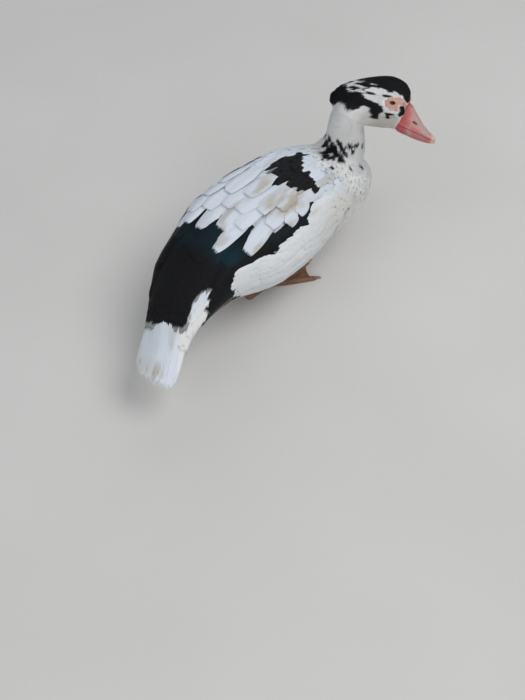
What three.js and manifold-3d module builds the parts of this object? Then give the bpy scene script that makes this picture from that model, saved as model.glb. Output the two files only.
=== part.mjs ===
// A female muscovy duck at life size, crouched low on its feet, with its neck up and its head turned
// to its right. The bird faces +X with +Z up, its right side is at -Y and the floor is at z = 0.
// Sizes are in millimetres. The solids give the outline of the plumage, out to the feather tips.

import * as THREE from "three";
import { mergeVertices } from "three/addons/utils/BufferGeometryUtils.js";
import Module from "manifold-3d";

const library = await Module();
library.setup();

const GAP = 0.4; // clearance between neighbouring pieces
const RIGHT = -1; // the side of the bird, as the sign of y
const LEFT = 1;

// Trunk and tail
const BODY = {
  breastEnd: 162,
  breastRoundFrom: 70,
  tailEnd: -248,
  tailRoundFrom: -220,
  fullness: 2.25, // 2 is an ellipse, more is squarer
  tailFrom: -142,
  middle: 88, // height of its middle
  stations: 27,
  around: 26,
};
// x along the body, then the middle's height and place to the left, the half width, the rise above
// the middle and the depth below it. The bird curves to its right at both ends.
const BODY_LINES = keyed(["at", "mid", "side", "wide", "up", "down"], [
  [162, 86, -22, 60, 46, 52],
  [130, 87, -14, 60, 49, 54],
  [95, 88, -5, 60, 54, 58],
  [50, 89, 2, 66, 58, 60],
  [0, 88, 5, 71.5, 60, 60],
  [-40, 87, 9, 71.5, 57, 56],
  [-68, 86, 12, 65, 52, 50],
  [-100, 83, 16, 51, 44, 40],
  [-126, 79, 16, 47, 34, 31],
  [-150, 74, 10, 40, 24, 21],
  [-173, 68, 3, 35, 15, 14],
  [-200, 61, -9, 31, 8, 8],
  [-228, 54, -21, 27, 4.5, 4],
  [-248, 50.5, -28.5, 21, 2.8, 2.2],
]);

// Folded wings, laid into the side of the body
const WING = {
  front: 98,
  tip: -165,
  primariesFrom: -80,
  stations: 18,
  across: 7,
  proud: 2.2, // stands out of the body's outline
  hollowOver: 10, // its bed in the body is cut this far out
  turnPerMillimetre: 0.86, // degrees round the body for one millimetre across it, about
};
// share of the wing's length from the front, its upper and lower edge in degrees from the back,
// and how deep it lies in the body
const WING_LINES = keyed(["at", "top", "bottom", "deep"], [
  [0, 60, 72, 3],
  [0.06, 42, 87, 6],
  [0.25, 27, 98, 7],
  [0.5, 24, 99, 7],
  [0.7, 32, 95, 5],
  [0.88, 52, 90, 3],
  [1, 70, 80, 1.6],
]);

// Neck: its middle line and radius, from inside the trunk to inside the head
const NECK = {
  rings: 10,
  around: 20,
  line: [
    [84, -4, 88, 50],
    [112, -9, 100, 42],
    [130, -13, 120, 31],
    [132, -16, 138, 25.5],
    [130, -17.5, 155, 23],
    [128, -19, 172, 21.5],
    [129, -22, 188, 20],
    [134, -27, 202, 14],
  ],
  lowerCut: { at: [131, -15, 141], along: [0.45, -0.2, 0.87] },
  upperCut: { at: [128, -19, 168], along: [0.1, -0.25, 0.95] },
};

// Head: x forward, z up from the line through the eyes
const HEAD = {
  place: [166, -56, 197.7],
  forward: [0.51, -0.852, -0.123],
  up: [0.539, 0.207, 0.798],
  back: -73,
  backRoundTo: -26,
  front: 24,
  frontRoundFrom: 8,
  fullness: 2.2,
  rings: 13,
  around: 20,
};
const HEAD_LINES = keyed(["at", "mid", "wide", "up", "down"], [
  [-73, -10, 17, 22, 20],
  [-57, -8, 18.5, 24, 24],
  [-40, -6, 20.5, 26.5, 29],
  [-6, -4, 21, 32.5, 29],
  [4, -3.5, 19.5, 30.5, 28],
  [13, -4, 17, 27.5, 27],
  [24, -8, 13.5, 23, 23],
]);

const BILL = {
  root: 9,
  tip: 60,
  tipRoundFrom: 50,
  rings: 12,
  across: 7,
  gape: 0.7, // between the mandibles
  lowerNarrower: 0.9, // the lower mandible's width as a share of the upper one's
  tipHeight: 0.35, // height left at the rounded tip, as a share
};
// height of the cutting edge, half width, rise of the upper mandible, depth of the lower one
const BILL_LINES = keyed(["at", "edge", "wide", "rise", "drop"], [
  [9, -25, 13, 30, 7],
  [22, -27.5, 12.8, 30, 8],
  [29, -29.2, 12.2, 23, 8],
  [35, -30.7, 11.6, 18, 7.8],
  [44, -33, 11.2, 10.8, 7],
  [52, -35.3, 11.2, 7, 5],
  [60, -37.5, 9.5, 4.6, 3],
]);

const EYE = { radius: 6.2, forward: -1.5, side: 14.9, up: -0.9, rows: 7 };

// Legs: the foot joint, the way the middle toe points in degrees outward, and the hock
const LEGS = [
  { side: RIGHT, name: "right", joint: [-10, -17], toesOut: 11, hock: [-54, -15, 20] },
  { side: LEFT, name: "left", joint: [-18, 33], toesOut: 12, hock: [-62, 32, 20] },
];
const FOOT = {
  jointHeight: 8,
  jointRadius: 6.4,
  webThick: 1.6,
  webScallop: 0.86, // how far the edge of the web reaches between two toe tips
  toes: [
    { name: "inner", angle: 30, length: 44, radius: 3.6 },
    { name: "middle", angle: 0, length: 60, radius: 4 },
    { name: "outer", angle: -29, length: 56, radius: 3.7 },
    { name: "hind", angle: 122, length: 17, radius: 2.8, lift: 3.4 },
  ],
};
const CLAW = { length: 9.5, radius: 2.1, sink: 3 };
const SHANK = { hockRadius: 6.6, radius: 4.7, rings: 6, around: 10, footCut: 9 };
const THIGH = {
  knee: 24,
  kneeForward: 44,
  kneeHeight: 60,
  kneeOut: 3,
  front: 8, // the thigh is cut off this far ahead of the hock
  feathersOver: 8, // its feathers start this high over the hock
  slant: 0.26, // and higher by this share of the way forward
  rings: 6,
  around: 14,
};

// Smooth lines through rows of values, with no overshoot. The first column is the place along the line.
function keyed(names, rows) {
  const sorted = [...rows].sort((a, b) => a[0] - b[0]);
  const at = sorted.map((row) => row[0]);
  const slopes = names.map((_, column) => slopesOf(at, sorted.map((row) => row[column])));
  return (x) => {
    const inside = Math.min(Math.max(x, at[0]), at[at.length - 1]);
    let i = 0;
    while (i < at.length - 2 && inside > at[i + 1]) i++;
    const step = at[i + 1] - at[i];
    const t = (inside - at[i]) / step;
    const found = {};
    names.forEach((name, column) => {
      found[name] =
        (1 + 2 * t) * (1 - t) ** 2 * sorted[i][column] +
        t * (1 - t) ** 2 * step * slopes[column][i] +
        t * t * (3 - 2 * t) * sorted[i + 1][column] +
        t * t * (t - 1) * step * slopes[column][i + 1];
    });
    return found;
  };
}

// The slope at each key: the harmonic mean of its neighbours, or flat at a turning point
function slopesOf(at, values) {
  const rise = at.slice(1).map((x, i) => (values[i + 1] - values[i]) / (x - at[i]));
  return at.map((_, i) => {
    if (i === 0) return rise[0];
    if (i === at.length - 1) return rise[i - 1];
    return rise[i - 1] * rise[i] > 0 ? (2 * rise[i - 1] * rise[i]) / (rise[i - 1] + rise[i]) : 0;
  });
}

// 1 before a rounded end starts, falling to 0 at the end as a quarter of a superellipse
function roundedEnd(x, from, end, power = 2) {
  const share = Math.min(Math.max((x - from) / (end - from), 0), 1);
  return (1 - share ** power) ** (1 / power);
}

// Places from one value to another that crowd towards both ends
function crowded(from, to, count) {
  return Array.from({ length: count }, (_, i) => {
    const even = i / (count - 1);
    const eased = (1 - Math.cos(Math.PI * even)) / 2;
    return from + (to - from) * (0.45 * even + 0.55 * eased);
  });
}

// The cosine or sine of a turn, pushed out towards a square
function squared(value, fullness) {
  return Math.sign(value) * Math.abs(value) ** (2 / fullness);
}

// A closed surface through rings of points, with a fan over each end
function loft(rings) {
  const around = rings[0].length;
  const points = rings.flat();
  const faces = [];
  for (let i = 0; i + 1 < rings.length; i++) {
    for (let j = 0; j < around; j++) {
      const here = i * around + j;
      const next = i * around + ((j + 1) % around);
      faces.push(here, next, here + around, next, next + around, here + around);
    }
  }
  for (const [ring, start] of [[rings[0], 0], [rings.at(-1), (rings.length - 1) * around]]) {
    const middle = ring.reduce((sum, p) => sum.add(p), new THREE.Vector3()).divideScalar(around);
    const centre = points.push(middle) - 1;
    for (let j = 0; j < around; j++) {
      const here = start + j;
      const next = start + ((j + 1) % around);
      faces.push(...(start ? [here, next, centre] : [next, here, centre]));
    }
  }
  return facingOut(points, faces);
}

// Geometry from points and faces, turned so that its faces point out
function facingOut(points, faces) {
  let volume = 0;
  for (let i = 0; i < faces.length; i += 3) {
    const [a, b, c] = [points[faces[i]], points[faces[i + 1]], points[faces[i + 2]]];
    volume += a.dot(new THREE.Vector3().crossVectors(b, c));
  }
  const geometry = new THREE.BufferGeometry().setFromPoints(points);
  geometry.setIndex(volume < 0 ? [...faces].reverse() : faces);
  return geometry;
}

function solid(geometry) {
  const bare = geometry.clone();
  bare.deleteAttribute("normal");
  bare.deleteAttribute("uv");
  const merged = mergeVertices(bare, 1e-4);
  const mesh = new library.Mesh({
    numProp: 3,
    vertProperties: merged.attributes.position.array,
    triVerts: new Uint32Array(merged.index.array),
  });
  return new library.Manifold(mesh);
}

function geometryOf(shape) {
  const pieces = shape.decompose().sort((a, b) => b.volume() - a.volume());
  const mesh = pieces[0].getMesh();
  const geometry = new THREE.BufferGeometry();
  geometry.setAttribute("position", new THREE.BufferAttribute(mesh.vertProperties, 3));
  geometry.setIndex(new THREE.BufferAttribute(mesh.triVerts, 1));
  return geometry;
}

// All that lies ahead of a plane, as a large block whose near face is half a gap from it
function ahead(at, along) {
  const size = 1200; // larger than the bird
  const way = new THREE.Vector3(...along).normalize();
  const block = new THREE.BoxGeometry(size, size, size);
  block.translate(0, 0, size / 2 + GAP / 2);
  block.applyQuaternion(new THREE.Quaternion().setFromUnitVectors(new THREE.Vector3(0, 0, 1), way));
  block.translate(...at);
  return solid(block);
}

function behind(at, along) {
  return ahead(at, along.map((value) => -value));
}

// Half sizes of the body's section at x, with the breast and the tail rounded off
function bodySection(x) {
  const line = BODY_LINES(x);
  const breast = roundedEnd(x, BODY.breastRoundFrom, BODY.breastEnd);
  const tail = roundedEnd(x, BODY.tailRoundFrom, BODY.tailEnd, 2.6);
  return {
    side: line.side,
    mid: line.mid,
    wide: line.wide * breast * tail,
    up: line.up * breast,
    down: line.down * breast,
  };
}

// A point of the plumage's outline: x along the body, turn in degrees from the back towards one side
function coat(x, turn, side, lift = 0) {
  const section = bodySection(x);
  const radians = THREE.MathUtils.degToRad(turn);
  const across = squared(Math.sin(radians), BODY.fullness);
  const over = squared(Math.cos(radians), BODY.fullness);
  const height = over > 0 ? section.up : section.down;
  const out = new THREE.Vector2(Math.sin(radians) * height, Math.cos(radians) * section.wide);
  out.normalize().multiplyScalar(lift);
  return new THREE.Vector3(
    x,
    section.side + side * (across * section.wide + out.x),
    section.mid + over * height + out.y,
  );
}

function trunkAndTail() {
  const least = 0.6; // the end rings stay this far from the ends, so that they keep a size
  const stations = crowded(BODY.tailEnd + least, BODY.breastEnd - least, BODY.stations);
  const rings = stations.map((x) =>
    Array.from({ length: BODY.around }, (_, j) => coat(x, (360 * j) / BODY.around, LEFT)),
  );
  return solid(loft(rings));
}

// A shell over the wing's outline, between two lifts from the plumage's outline
function wingShell(side, outer, inner, grow) {
  const length = WING.front - WING.tip;
  const stations = crowded(0, 1, WING.stations);
  const rings = stations.map((share) => {
    const line = WING_LINES(share);
    const x = WING.front - share * length + grow * (1 - 2 * share);
    const turns = Array.from({ length: WING.across }, (_, j) => {
      const top = line.top - grow * WING.turnPerMillimetre;
      const bottom = line.bottom + grow * WING.turnPerMillimetre;
      return top + ((bottom - top) * j) / (WING.across - 1);
    });
    return [
      ...turns.map((turn) => coat(x, turn, side, outer)),
      ...turns.reverse().map((turn) => coat(x, turn, side, inner - line.deep)),
    ];
  });
  return solid(loft(rings));
}

// Rings round a curved middle line, each row of which is x, y, z and radius
function tube(rows, count, around) {
  const curve = new THREE.CatmullRomCurve3(rows.map(([x, y, z]) => new THREE.Vector3(x, y, z)));
  const radius = keyed(["at", "size"], rows.map((row, i) => [i / (rows.length - 1), row[3]]));
  const rings = Array.from({ length: count }, (_, i) => {
    const share = i / (count - 1);
    const centre = curve.getPoint(share);
    const along = curve.getTangent(share);
    const size = radius(share).size;
    const sideways = new THREE.Vector3(0, 1, 0).cross(along).normalize();
    const upward = along.clone().cross(sideways);
    return Array.from({ length: around }, (_, j) => {
      const angle = (2 * Math.PI * j) / around;
      return centre
        .clone()
        .addScaledVector(sideways, size * Math.cos(angle))
        .addScaledVector(upward, size * Math.sin(angle));
    });
  });
  return solid(loft(rings));
}

// Where a point of the head's own frame lies on the bird
function headFrame() {
  const forward = new THREE.Vector3(...HEAD.forward).normalize();
  const left = new THREE.Vector3(...HEAD.up).cross(forward).normalize();
  const up = forward.clone().cross(left);
  return new THREE.Matrix4().makeBasis(forward, left, up).setPosition(...HEAD.place);
}

function headSkull(frame) {
  const least = 0.4;
  const stations = crowded(HEAD.back + least, HEAD.front - least, HEAD.rings);
  const rings = stations.map((x) => {
    const line = HEAD_LINES(x);
    const ends = roundedEnd(x, HEAD.backRoundTo, HEAD.back) *
      roundedEnd(x, HEAD.frontRoundFrom, HEAD.front, 3);
    return Array.from({ length: HEAD.around }, (_, j) => {
      const angle = (2 * Math.PI * j) / HEAD.around;
      const over = squared(Math.cos(angle), HEAD.fullness);
      const height = (over > 0 ? line.up : line.down) * ends;
      const y = squared(Math.sin(angle), HEAD.fullness) * line.wide * ends;
      return new THREE.Vector3(x, y, line.mid + over * height).applyMatrix4(frame);
    });
  });
  return solid(loft(rings));
}

// One mandible: the outer arch goes up or down from the cutting edge, and the inner face is nearly flat
function mandible(frame, way, grow) {
  const least = 0.3;
  const stations = crowded(BILL.root, BILL.tip - least, BILL.rings);
  const rings = stations.map((inside, i) => {
    const x = inside + (i === 0 ? -grow : 0) + (i === BILL.rings - 1 ? grow : 0);
    const line = BILL_LINES(inside);
    const end = roundedEnd(inside, BILL.tipRoundFrom, BILL.tip, 2.2);
    const wide = line.wide * end * (way > 0 ? 1 : BILL.lowerNarrower) + grow;
    const height = BILL.tipHeight + (1 - BILL.tipHeight) * end;
    const reach = (way > 0 ? line.rise : line.drop) * height + 2 * grow;
    const edge = line.edge + way * (BILL.gape / 2 - grow);
    const arch = Array.from({ length: BILL.across }, (_, j) => {
      const angle = Math.PI * (j / (BILL.across - 1) - 0.5);
      return new THREE.Vector3(x, wide * Math.sin(angle), edge + way * reach * Math.cos(angle) ** 0.9);
    });
    const inner = [0.6, 0, -0.6].map((share) => new THREE.Vector3(x, wide * share, edge));
    return [...arch, ...inner].map((point) => point.applyMatrix4(frame));
  });
  return solid(loft(rings));
}

function eyeball(frame, side, grow) {
  const ball = new THREE.SphereGeometry(EYE.radius + grow, EYE.rows * 2, EYE.rows);
  ball.translate(EYE.forward, side * EYE.side, EYE.up);
  return solid(ball.applyMatrix4(frame));
}

// A toe or its claw lies in a foot frame: x along the toe, z up from the floor
function toeFrame(leg, toe) {
  const heading = THREE.MathUtils.degToRad(leg.side * leg.toesOut);
  const spread = THREE.MathUtils.degToRad(-leg.side * toe.angle);
  return new THREE.Matrix4().makeRotationZ(heading + spread).setPosition(...leg.joint, 0);
}

function toeTube(leg, toe) {
  const lift = toe.lift ?? 0;
  const rows = [
    [0, 0, FOOT.jointHeight - 2, toe.radius * 1.25],
    [toe.length * 0.3, 0, toe.radius * 0.72 + lift, toe.radius * 1.08],
    [toe.length * 0.7, 0, toe.radius * 0.6 + lift, toe.radius * 0.95],
    [toe.length - 2, 0, toe.radius * 0.55 + lift, toe.radius * 0.82],
    [toe.length, 0, toe.radius * 0.5 + lift, toe.radius * 0.45],
  ];
  return tube(rows, 5, 8).transform(toeFrame(leg, toe).elements);
}

function claw(leg, toe, grow) {
  const lift = toe.lift ?? 0;
  const base = toe.radius * 0.75 + lift;
  const from = toe.length - CLAW.sink;
  const rows = [
    [from - grow, 0, base, CLAW.radius + grow],
    [from + CLAW.length * 0.5, 0, base + 0.3, CLAW.radius * 0.8 + grow],
    [from + CLAW.length * 0.85, 0, base - 0.7, CLAW.radius * 0.45 + grow],
    [from + CLAW.length + grow, 0, base - 1.9, 0.25 + grow],
  ];
  return tube(rows, 5, 6).transform(toeFrame(leg, toe).elements);
}

// The web spans the three front toes, its edge drawn in between their tips
function web(leg) {
  const tips = FOOT.toes.slice(0, 3).map((toe) => {
    const tip = new THREE.Vector3(toe.length - 4, 0, 0).applyMatrix4(toeFrame(leg, toe));
    return new THREE.Vector2(tip.x, tip.y);
  });
  const joint = new THREE.Vector2(...leg.joint);
  const outline = new THREE.Shape().moveTo(joint.x, joint.y).lineTo(tips[0].x, tips[0].y);
  for (const [from, to] of [[tips[0], tips[1]], [tips[1], tips[2]]]) {
    const between = from.clone().add(to).multiplyScalar(0.5);
    const drawn = between.sub(joint).multiplyScalar(FOOT.webScallop).add(joint);
    outline.quadraticCurveTo(drawn.x, drawn.y, to.x, to.y);
  }
  outline.closePath();
  const plate = new THREE.ExtrudeGeometry(outline, {
    depth: FOOT.webThick,
    bevelEnabled: false,
    curveSegments: 5,
  });
  return solid(plate);
}

function footAndShank(leg) {
  const joint = new THREE.SphereGeometry(FOOT.jointRadius, 10, 6);
  joint.translate(...leg.joint, FOOT.jointHeight);
  const hock = leg.hock;
  const ankle = [...leg.joint, FOOT.jointHeight];
  const between = (share) => hock.map((value, i) => value + (ankle[i] - value) * share);
  const shank = tube([
    [...between(-0.08), SHANK.hockRadius * 0.7],
    [...between(0.05), SHANK.hockRadius],
    [...between(0.35), SHANK.radius],
    [...between(0.75), SHANK.radius],
    [...between(1), SHANK.radius * 1.15],
  ], SHANK.rings, SHANK.around);
  return FOOT.toes
    .reduce((foot, toe) => foot.add(toeTube(leg, toe)), web(leg).add(solid(joint)))
    .add(shank)
    .intersect(ahead([0, 0, -GAP / 2], [0, 0, 1]));
}

function thigh(leg) {
  const [x, y, z] = leg.hock;
  const lean = leg.side * THIGH.kneeOut;
  return tube([
    [x - 5, y, z + 1, SHANK.hockRadius * 0.6],
    [x, y, z + 2, SHANK.hockRadius * 1.1],
    [x + 14, y + lean / 3, z + 12, THIGH.knee * 0.66],
    [x + THIGH.kneeForward * 0.7, y + lean, z + 28, THIGH.knee],
    [x + THIGH.kneeForward, y + lean, THIGH.kneeHeight, THIGH.knee * 0.8],
  ], THIGH.rings, THIGH.around);
}

function finish(color, roughness) {
  return new THREE.MeshStandardMaterial({ color, roughness, metalness: 0 });
}

const LOOKS = {
  whitePlumage: finish(0xd9dce0, 0.8),
  blackPlumage: finish(0x17171b, 0.55),
  bill: finish(0xc8727a, 0.45),
  eye: finish(0x1c120c, 0.08),
  legSkin: finish(0x9a6a48, 0.6),
  claw: finish(0x3a2c22, 0.4),
};

const bird = new THREE.Group();

function add(name, shape, look) {
  const mesh = new THREE.Mesh(geometryOf(shape), look);
  mesh.name = name;
  bird.add(mesh);
}

function addHeadAndNeck(trunk) {
  const frame = headFrame();
  const { lowerCut, upperCut } = NECK;
  const whole = tube(NECK.line, NECK.rings, NECK.around).add(headSkull(frame)).add(trunk);
  const neck = whole
    .intersect(ahead(lowerCut.at, lowerCut.along))
    .intersect(behind(upperCut.at, upperCut.along));
  let head = whole.intersect(ahead(upperCut.at, upperCut.along));
  for (const way of [1, -1]) {
    add(way > 0 ? "bill_upper" : "bill_lower", mandible(frame, way, 0), LOOKS.bill);
    head = head.subtract(mandible(frame, way, 2 * GAP));
  }
  for (const [side, name] of [[RIGHT, "right"], [LEFT, "left"]]) {
    add(`eye_${name}`, eyeball(frame, side, 0), LOOKS.eye);
    head = head.subtract(eyeball(frame, side, GAP));
  }
  add("head", head, LOOKS.whitePlumage);
  add("neck", neck, LOOKS.whitePlumage);
  return whole.intersect(behind(lowerCut.at, lowerCut.along));
}

// The wings are let into the body, and their long hind feathers are pieces of their own
function addWings(body) {
  let rest = body;
  for (const [side, name] of [[RIGHT, "right"], [LEFT, "left"]]) {
    const wing = wingShell(side, WING.proud, 0, 0);
    rest = rest.subtract(wingShell(side, WING.hollowOver, -GAP, GAP));
    const parting = [WING.primariesFrom, 0, 0];
    add(`wing_${name}`, wing.intersect(ahead(parting, [1, 0, 0])), LOOKS.whitePlumage);
    add(`primaries_${name}`, wing.intersect(behind(parting, [1, 0, 0])), LOOKS.blackPlumage);
  }
  return rest;
}

function addLeg(leg, bodyOutline) {
  const toJoint = new THREE.Vector3(...leg.joint, FOOT.jointHeight).sub(new THREE.Vector3(...leg.hock));
  const along = toJoint.clone().normalize().toArray();
  const place = (fromHock) => leg.hock.map((value, i) => value + along[i] * fromHock);
  const footCut = place(toJoint.length() - SHANK.footCut);
  const thighFront = place(THIGH.front);
  const featherLine = [leg.hock[0], leg.hock[1], leg.hock[2] + THIGH.feathersOver];
  const down = new THREE.Vector3(THIGH.slant, 0, -1).normalize().toArray();
  const whole = footAndShank(leg);
  let foot = whole.intersect(ahead(footCut, along));
  for (const toe of FOOT.toes) {
    add(`claw_${leg.name}_${toe.name}`, claw(leg, toe, 0), LOOKS.claw);
    foot = foot.subtract(claw(leg, toe, GAP));
  }
  add(`foot_${leg.name}`, foot, LOOKS.legSkin);
  const limb = whole.add(thigh(leg).intersect(behind(thighFront, along)));
  const shank = limb.intersect(behind(footCut, along)).intersect(ahead(featherLine, down));
  add(`shank_${leg.name}`, shank, LOOKS.legSkin);
  const upper = limb.intersect(behind(featherLine, down));
  add(`thigh_${leg.name}`, upper.subtract(bodyOutline), LOOKS.whitePlumage);
}

const outline = trunkAndTail();
const body = addWings(addHeadAndNeck(outline));
const tailParting = [BODY.tailFrom, 0, 0];
add("trunk", body.intersect(ahead(tailParting, [1, 0, 0])), LOOKS.whitePlumage);
add("tail", body.intersect(behind(tailParting, [1, 0, 0])), LOOKS.whitePlumage);
const bodyDepth = 120;
const grown = 1 + (2 * GAP) / bodyDepth; // wider by about one gap all round
const grownOutline = outline
  .translate([0, 0, -BODY.middle])
  .scale([grown, grown, grown])
  .translate([0, 0, BODY.middle]);
LEGS.forEach((leg) => addLeg(leg, grownOutline));

// The middle of the whole bird stands over the origin
const box = new THREE.Box3().setFromObject(bird);
const middle = box.getCenter(new THREE.Vector3());
bird.position.set(-middle.x, -middle.y, 0);

export default bird;
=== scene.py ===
"""A female muscovy duck at life size, black and white, crouched low with its head turned to its right.

Places on the bird are in its own frame, in millimetres: +X forward, +Y to its left, the floor at z = 0.
The skin is made from the frame's solids. The plumage over it is thin solid feathers laid on the skin.
"""

import math

import bpy
import numpy as np
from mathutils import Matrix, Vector
from mathutils.bvhtree import BVHTree
from mathutils.kdtree import KDTree


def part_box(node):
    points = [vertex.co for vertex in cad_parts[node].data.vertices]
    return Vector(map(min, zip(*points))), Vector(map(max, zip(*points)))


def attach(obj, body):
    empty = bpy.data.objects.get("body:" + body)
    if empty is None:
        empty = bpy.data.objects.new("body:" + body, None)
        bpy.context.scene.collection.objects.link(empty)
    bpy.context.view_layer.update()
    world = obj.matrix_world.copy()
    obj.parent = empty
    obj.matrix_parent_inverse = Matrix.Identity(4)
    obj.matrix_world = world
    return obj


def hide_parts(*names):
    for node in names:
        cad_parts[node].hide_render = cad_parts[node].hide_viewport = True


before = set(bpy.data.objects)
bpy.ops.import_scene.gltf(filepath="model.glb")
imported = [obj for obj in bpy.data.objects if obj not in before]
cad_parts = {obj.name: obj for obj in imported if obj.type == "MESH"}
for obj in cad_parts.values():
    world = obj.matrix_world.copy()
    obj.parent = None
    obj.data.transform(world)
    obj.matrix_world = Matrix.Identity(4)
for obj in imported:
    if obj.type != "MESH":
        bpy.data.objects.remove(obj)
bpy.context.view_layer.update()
bpy.ops.object.select_all(action="DESELECT")

MM = 0.001
RNG = np.random.default_rng(11)
SIDES = {"right": -1, "left": 1}


def unit(vectors):
    vectors = np.asarray(vectors, float)
    length = np.linalg.norm(vectors, axis=-1, keepdims=True)
    return vectors / np.maximum(length, 1e-12)


# The head's own frame: forward, left and up from the line through the eyes
HEAD_PLACE = np.array([166, -56, 197.7])
HEAD_FORWARD = unit([0.51, -0.852, -0.123])
HEAD_LEFT = unit(np.cross([0.539, 0.207, 0.798], HEAD_FORWARD))
HEAD_UP = np.cross(HEAD_FORWARD, HEAD_LEFT)
HEAD_AXES = np.stack([HEAD_FORWARD, HEAD_LEFT, HEAD_UP])
EYE_PLACE = np.array([-1.5, 14.9, -0.9])  # of the left eye, in the head's frame
EYE_RADIUS = 6.2
EYE_LOOKS = (1, 0.16, 0.05)  # outwards, forward and up


def eye_middle(side):
    return np.array(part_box(f"eye_{side}")).mean(axis=0)


# The frame's origin in the bird's own frame, found from the eyes
BETWEEN_EYES = HEAD_PLACE + (EYE_PLACE * [1, 0, 1]) @ HEAD_AXES
ORIGIN = (eye_middle("right") + eye_middle("left")) / 2 - BETWEEN_EYES * MM


def in_scene(places):
    return np.asarray(places, float) * MM + ORIGIN


def on_bird(points):
    return (np.asarray(points, float) - ORIGIN) / MM


def in_head(places):
    return (places - HEAD_PLACE) @ HEAD_AXES.T


# The lie of the coat follows a line from the bill over the head, down the neck and along the body
LIE = np.array([
    (178, -78, 190), (166, -56, 197), (152, -33, 201), (140, -13, 203), (129, -19, 180), (131, -17, 150),
    (129, -14, 128), (118, -10, 112), (98, -6, 100), (70, 0, 92), (30, 4, 89), (0, 5, 88), (-40, 9, 87),
    (-68, 12, 86), (-100, 16, 83), (-126, 16, 79), (-150, 10, 74), (-173, 3, 68), (-200, -9, 61),
    (-228, -21, 54), (-248, -28.5, 50.5),
], float)
LIE_STEP = 5  # between the points that stand for the line
BODY_FROM = 8  # the line's points from here on are the body's middle


def walked(line):
    """The length along a line at each of its points."""
    return np.concatenate([[0], np.cumsum(np.linalg.norm(np.diff(line, axis=0), axis=1))])


def read_off(at, places, rows):
    """The rows of values known at places along a line, read off at others."""
    return np.stack([np.interp(at, places, column) for column in rows.T], axis=1)


LIE_LENGTH = walked(LIE)[-1]
LIE_AT = np.arange(0, LIE_LENGTH, LIE_STEP)
LIE_FINE = read_off(LIE_AT, walked(LIE), LIE)
LIE_WAYS = unit(np.gradient(LIE_FINE, axis=0))


def lie_of(places):
    """How far along the coat's line each place is, in millimetres, and which way the coat lies there."""
    away = ((places[:, None] - LIE_FINE) ** 2).sum(axis=2)
    nearest = away.min(axis=1, keepdims=True)
    reach = 0.3 * np.sqrt(nearest) + 6
    share = np.exp((nearest - away) / (2 * reach**2))
    share /= share.sum(axis=1, keepdims=True)
    return share @ LIE_AT, unit(share @ LIE_WAYS)


def middle_at(x):
    """The body's middle line at each x, as places."""
    line = LIE[: BODY_FROM - 1 : -1]
    return np.stack([np.interp(x, line[:, 0], column) for column in line.T], axis=-1)


def round_body(places):
    """Each place's turn about the body's middle line, in degrees from the back, positive to the right."""
    out = places - middle_at(places[:, 0])
    return np.degrees(np.arctan2(-out[:, 1], out[:, 2]))


def keyed(rows):
    """Values read off between the rows, whose first column is the place along a line."""
    table = np.array(sorted(rows), float)
    return lambda at: [np.interp(at, table[:, 0], column) for column in table.T[1:]]


def ramp(values, start, end):
    share = np.clip((values - start) / (end - start), 0, 1)
    return share * share * (3 - 2 * share)


def bell(values, middle, width):
    """1 at the middle, falling away smoothly on both sides."""
    return np.exp(-(((values - middle) / width) ** 2))


LATTICE = RNG.uniform(-1, 1, (64, 64, 64))
SEED_SHIFT = 17.3
MOTTLE_GAIN = 1.4


def mottle(places, size, seed=0):
    """Smooth noise from about -1 to 1, with lumps of that size in millimetres."""
    spot = places / size + seed * SEED_SHIFT
    corner = np.floor(spot).astype(int)
    share = spot - corner
    share = share * share * (3 - 2 * share)
    total = 0
    for offset in np.ndindex(2, 2, 2):
        lattice = (corner + offset) % len(LATTICE)
        weight = np.where(offset, share, 1 - share).prod(axis=1)
        total = total + LATTICE[tuple(lattice.T)] * weight
    return total * MOTTLE_GAIN


# Markings

# Patches on the body: x along it, and degrees round it from the back, positive to the right
SADDLE = [
    (17, -12), (41, -18), (60, -19), (75, -14), (67, 1), (53, 9), (53, 24), (42, 42), (27, 35), (25, 24),
    (18, 8), (12, -4),
]
REAR = [
    (-97, -84), (-97, -44), (-84, -37), (-93, -12), (-91, 6), (-94, 28), (-84, 50), (-62, 52), (-40, 47),
    (-20, 50), (0, 44), (14, 44), (17, 54), (-1, 60), (-16, 64), (-37, 64), (-58, 68), (-71, 73), (-84, 67),
    (-91, 58), (-99, 73), (-104, 98), (-98, 126), (-160, 130), (-155, 98), (-150, 84), (-133, 74),
    (-128, 57), (-139, 48), (-150, 47), (-165, 63), (-178, 58), (-189, 7), (-192, -63), (-190, -85),
    (-160, -128), (-98, -124),
]
FAR_BAND = [
    (14, -60), (17, -70), (-16, -78), (-58, -84), (-98, -86), (-98, -64), (-60, -68), (-20, -62),
]
# Blotches on the lower neck's right side: place and radius
NECK_SPOTS = [
    (98, -11, 138, 5.5), (105, -15, 147, 5.5), (106, -25, 154, 5), (109, -30, 146, 5.5),
    (115, -36, 149, 4.5), (123, -40, 148, 4.2), (106, -21, 139, 4.5), (107, -29, 132, 5.2),
    (83, -33, 137, 3.2), (136, -40, 139, 3.5), (127, -47, 115, 3), (109, -43, 125, 2.6),
    (111, -33, 139, 4.5), (91, -13, 140, 4), (106, -11, 139, 5), (119, -38, 141, 3.2), (76, -30, 139, 2.4),
    (96, -24, 139, 2.6),
]
DEGREE = 1.12  # millimetres across the body for one degree round it
# Along the coat's line
HEAD_END = 112
NECK_END = 180

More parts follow.
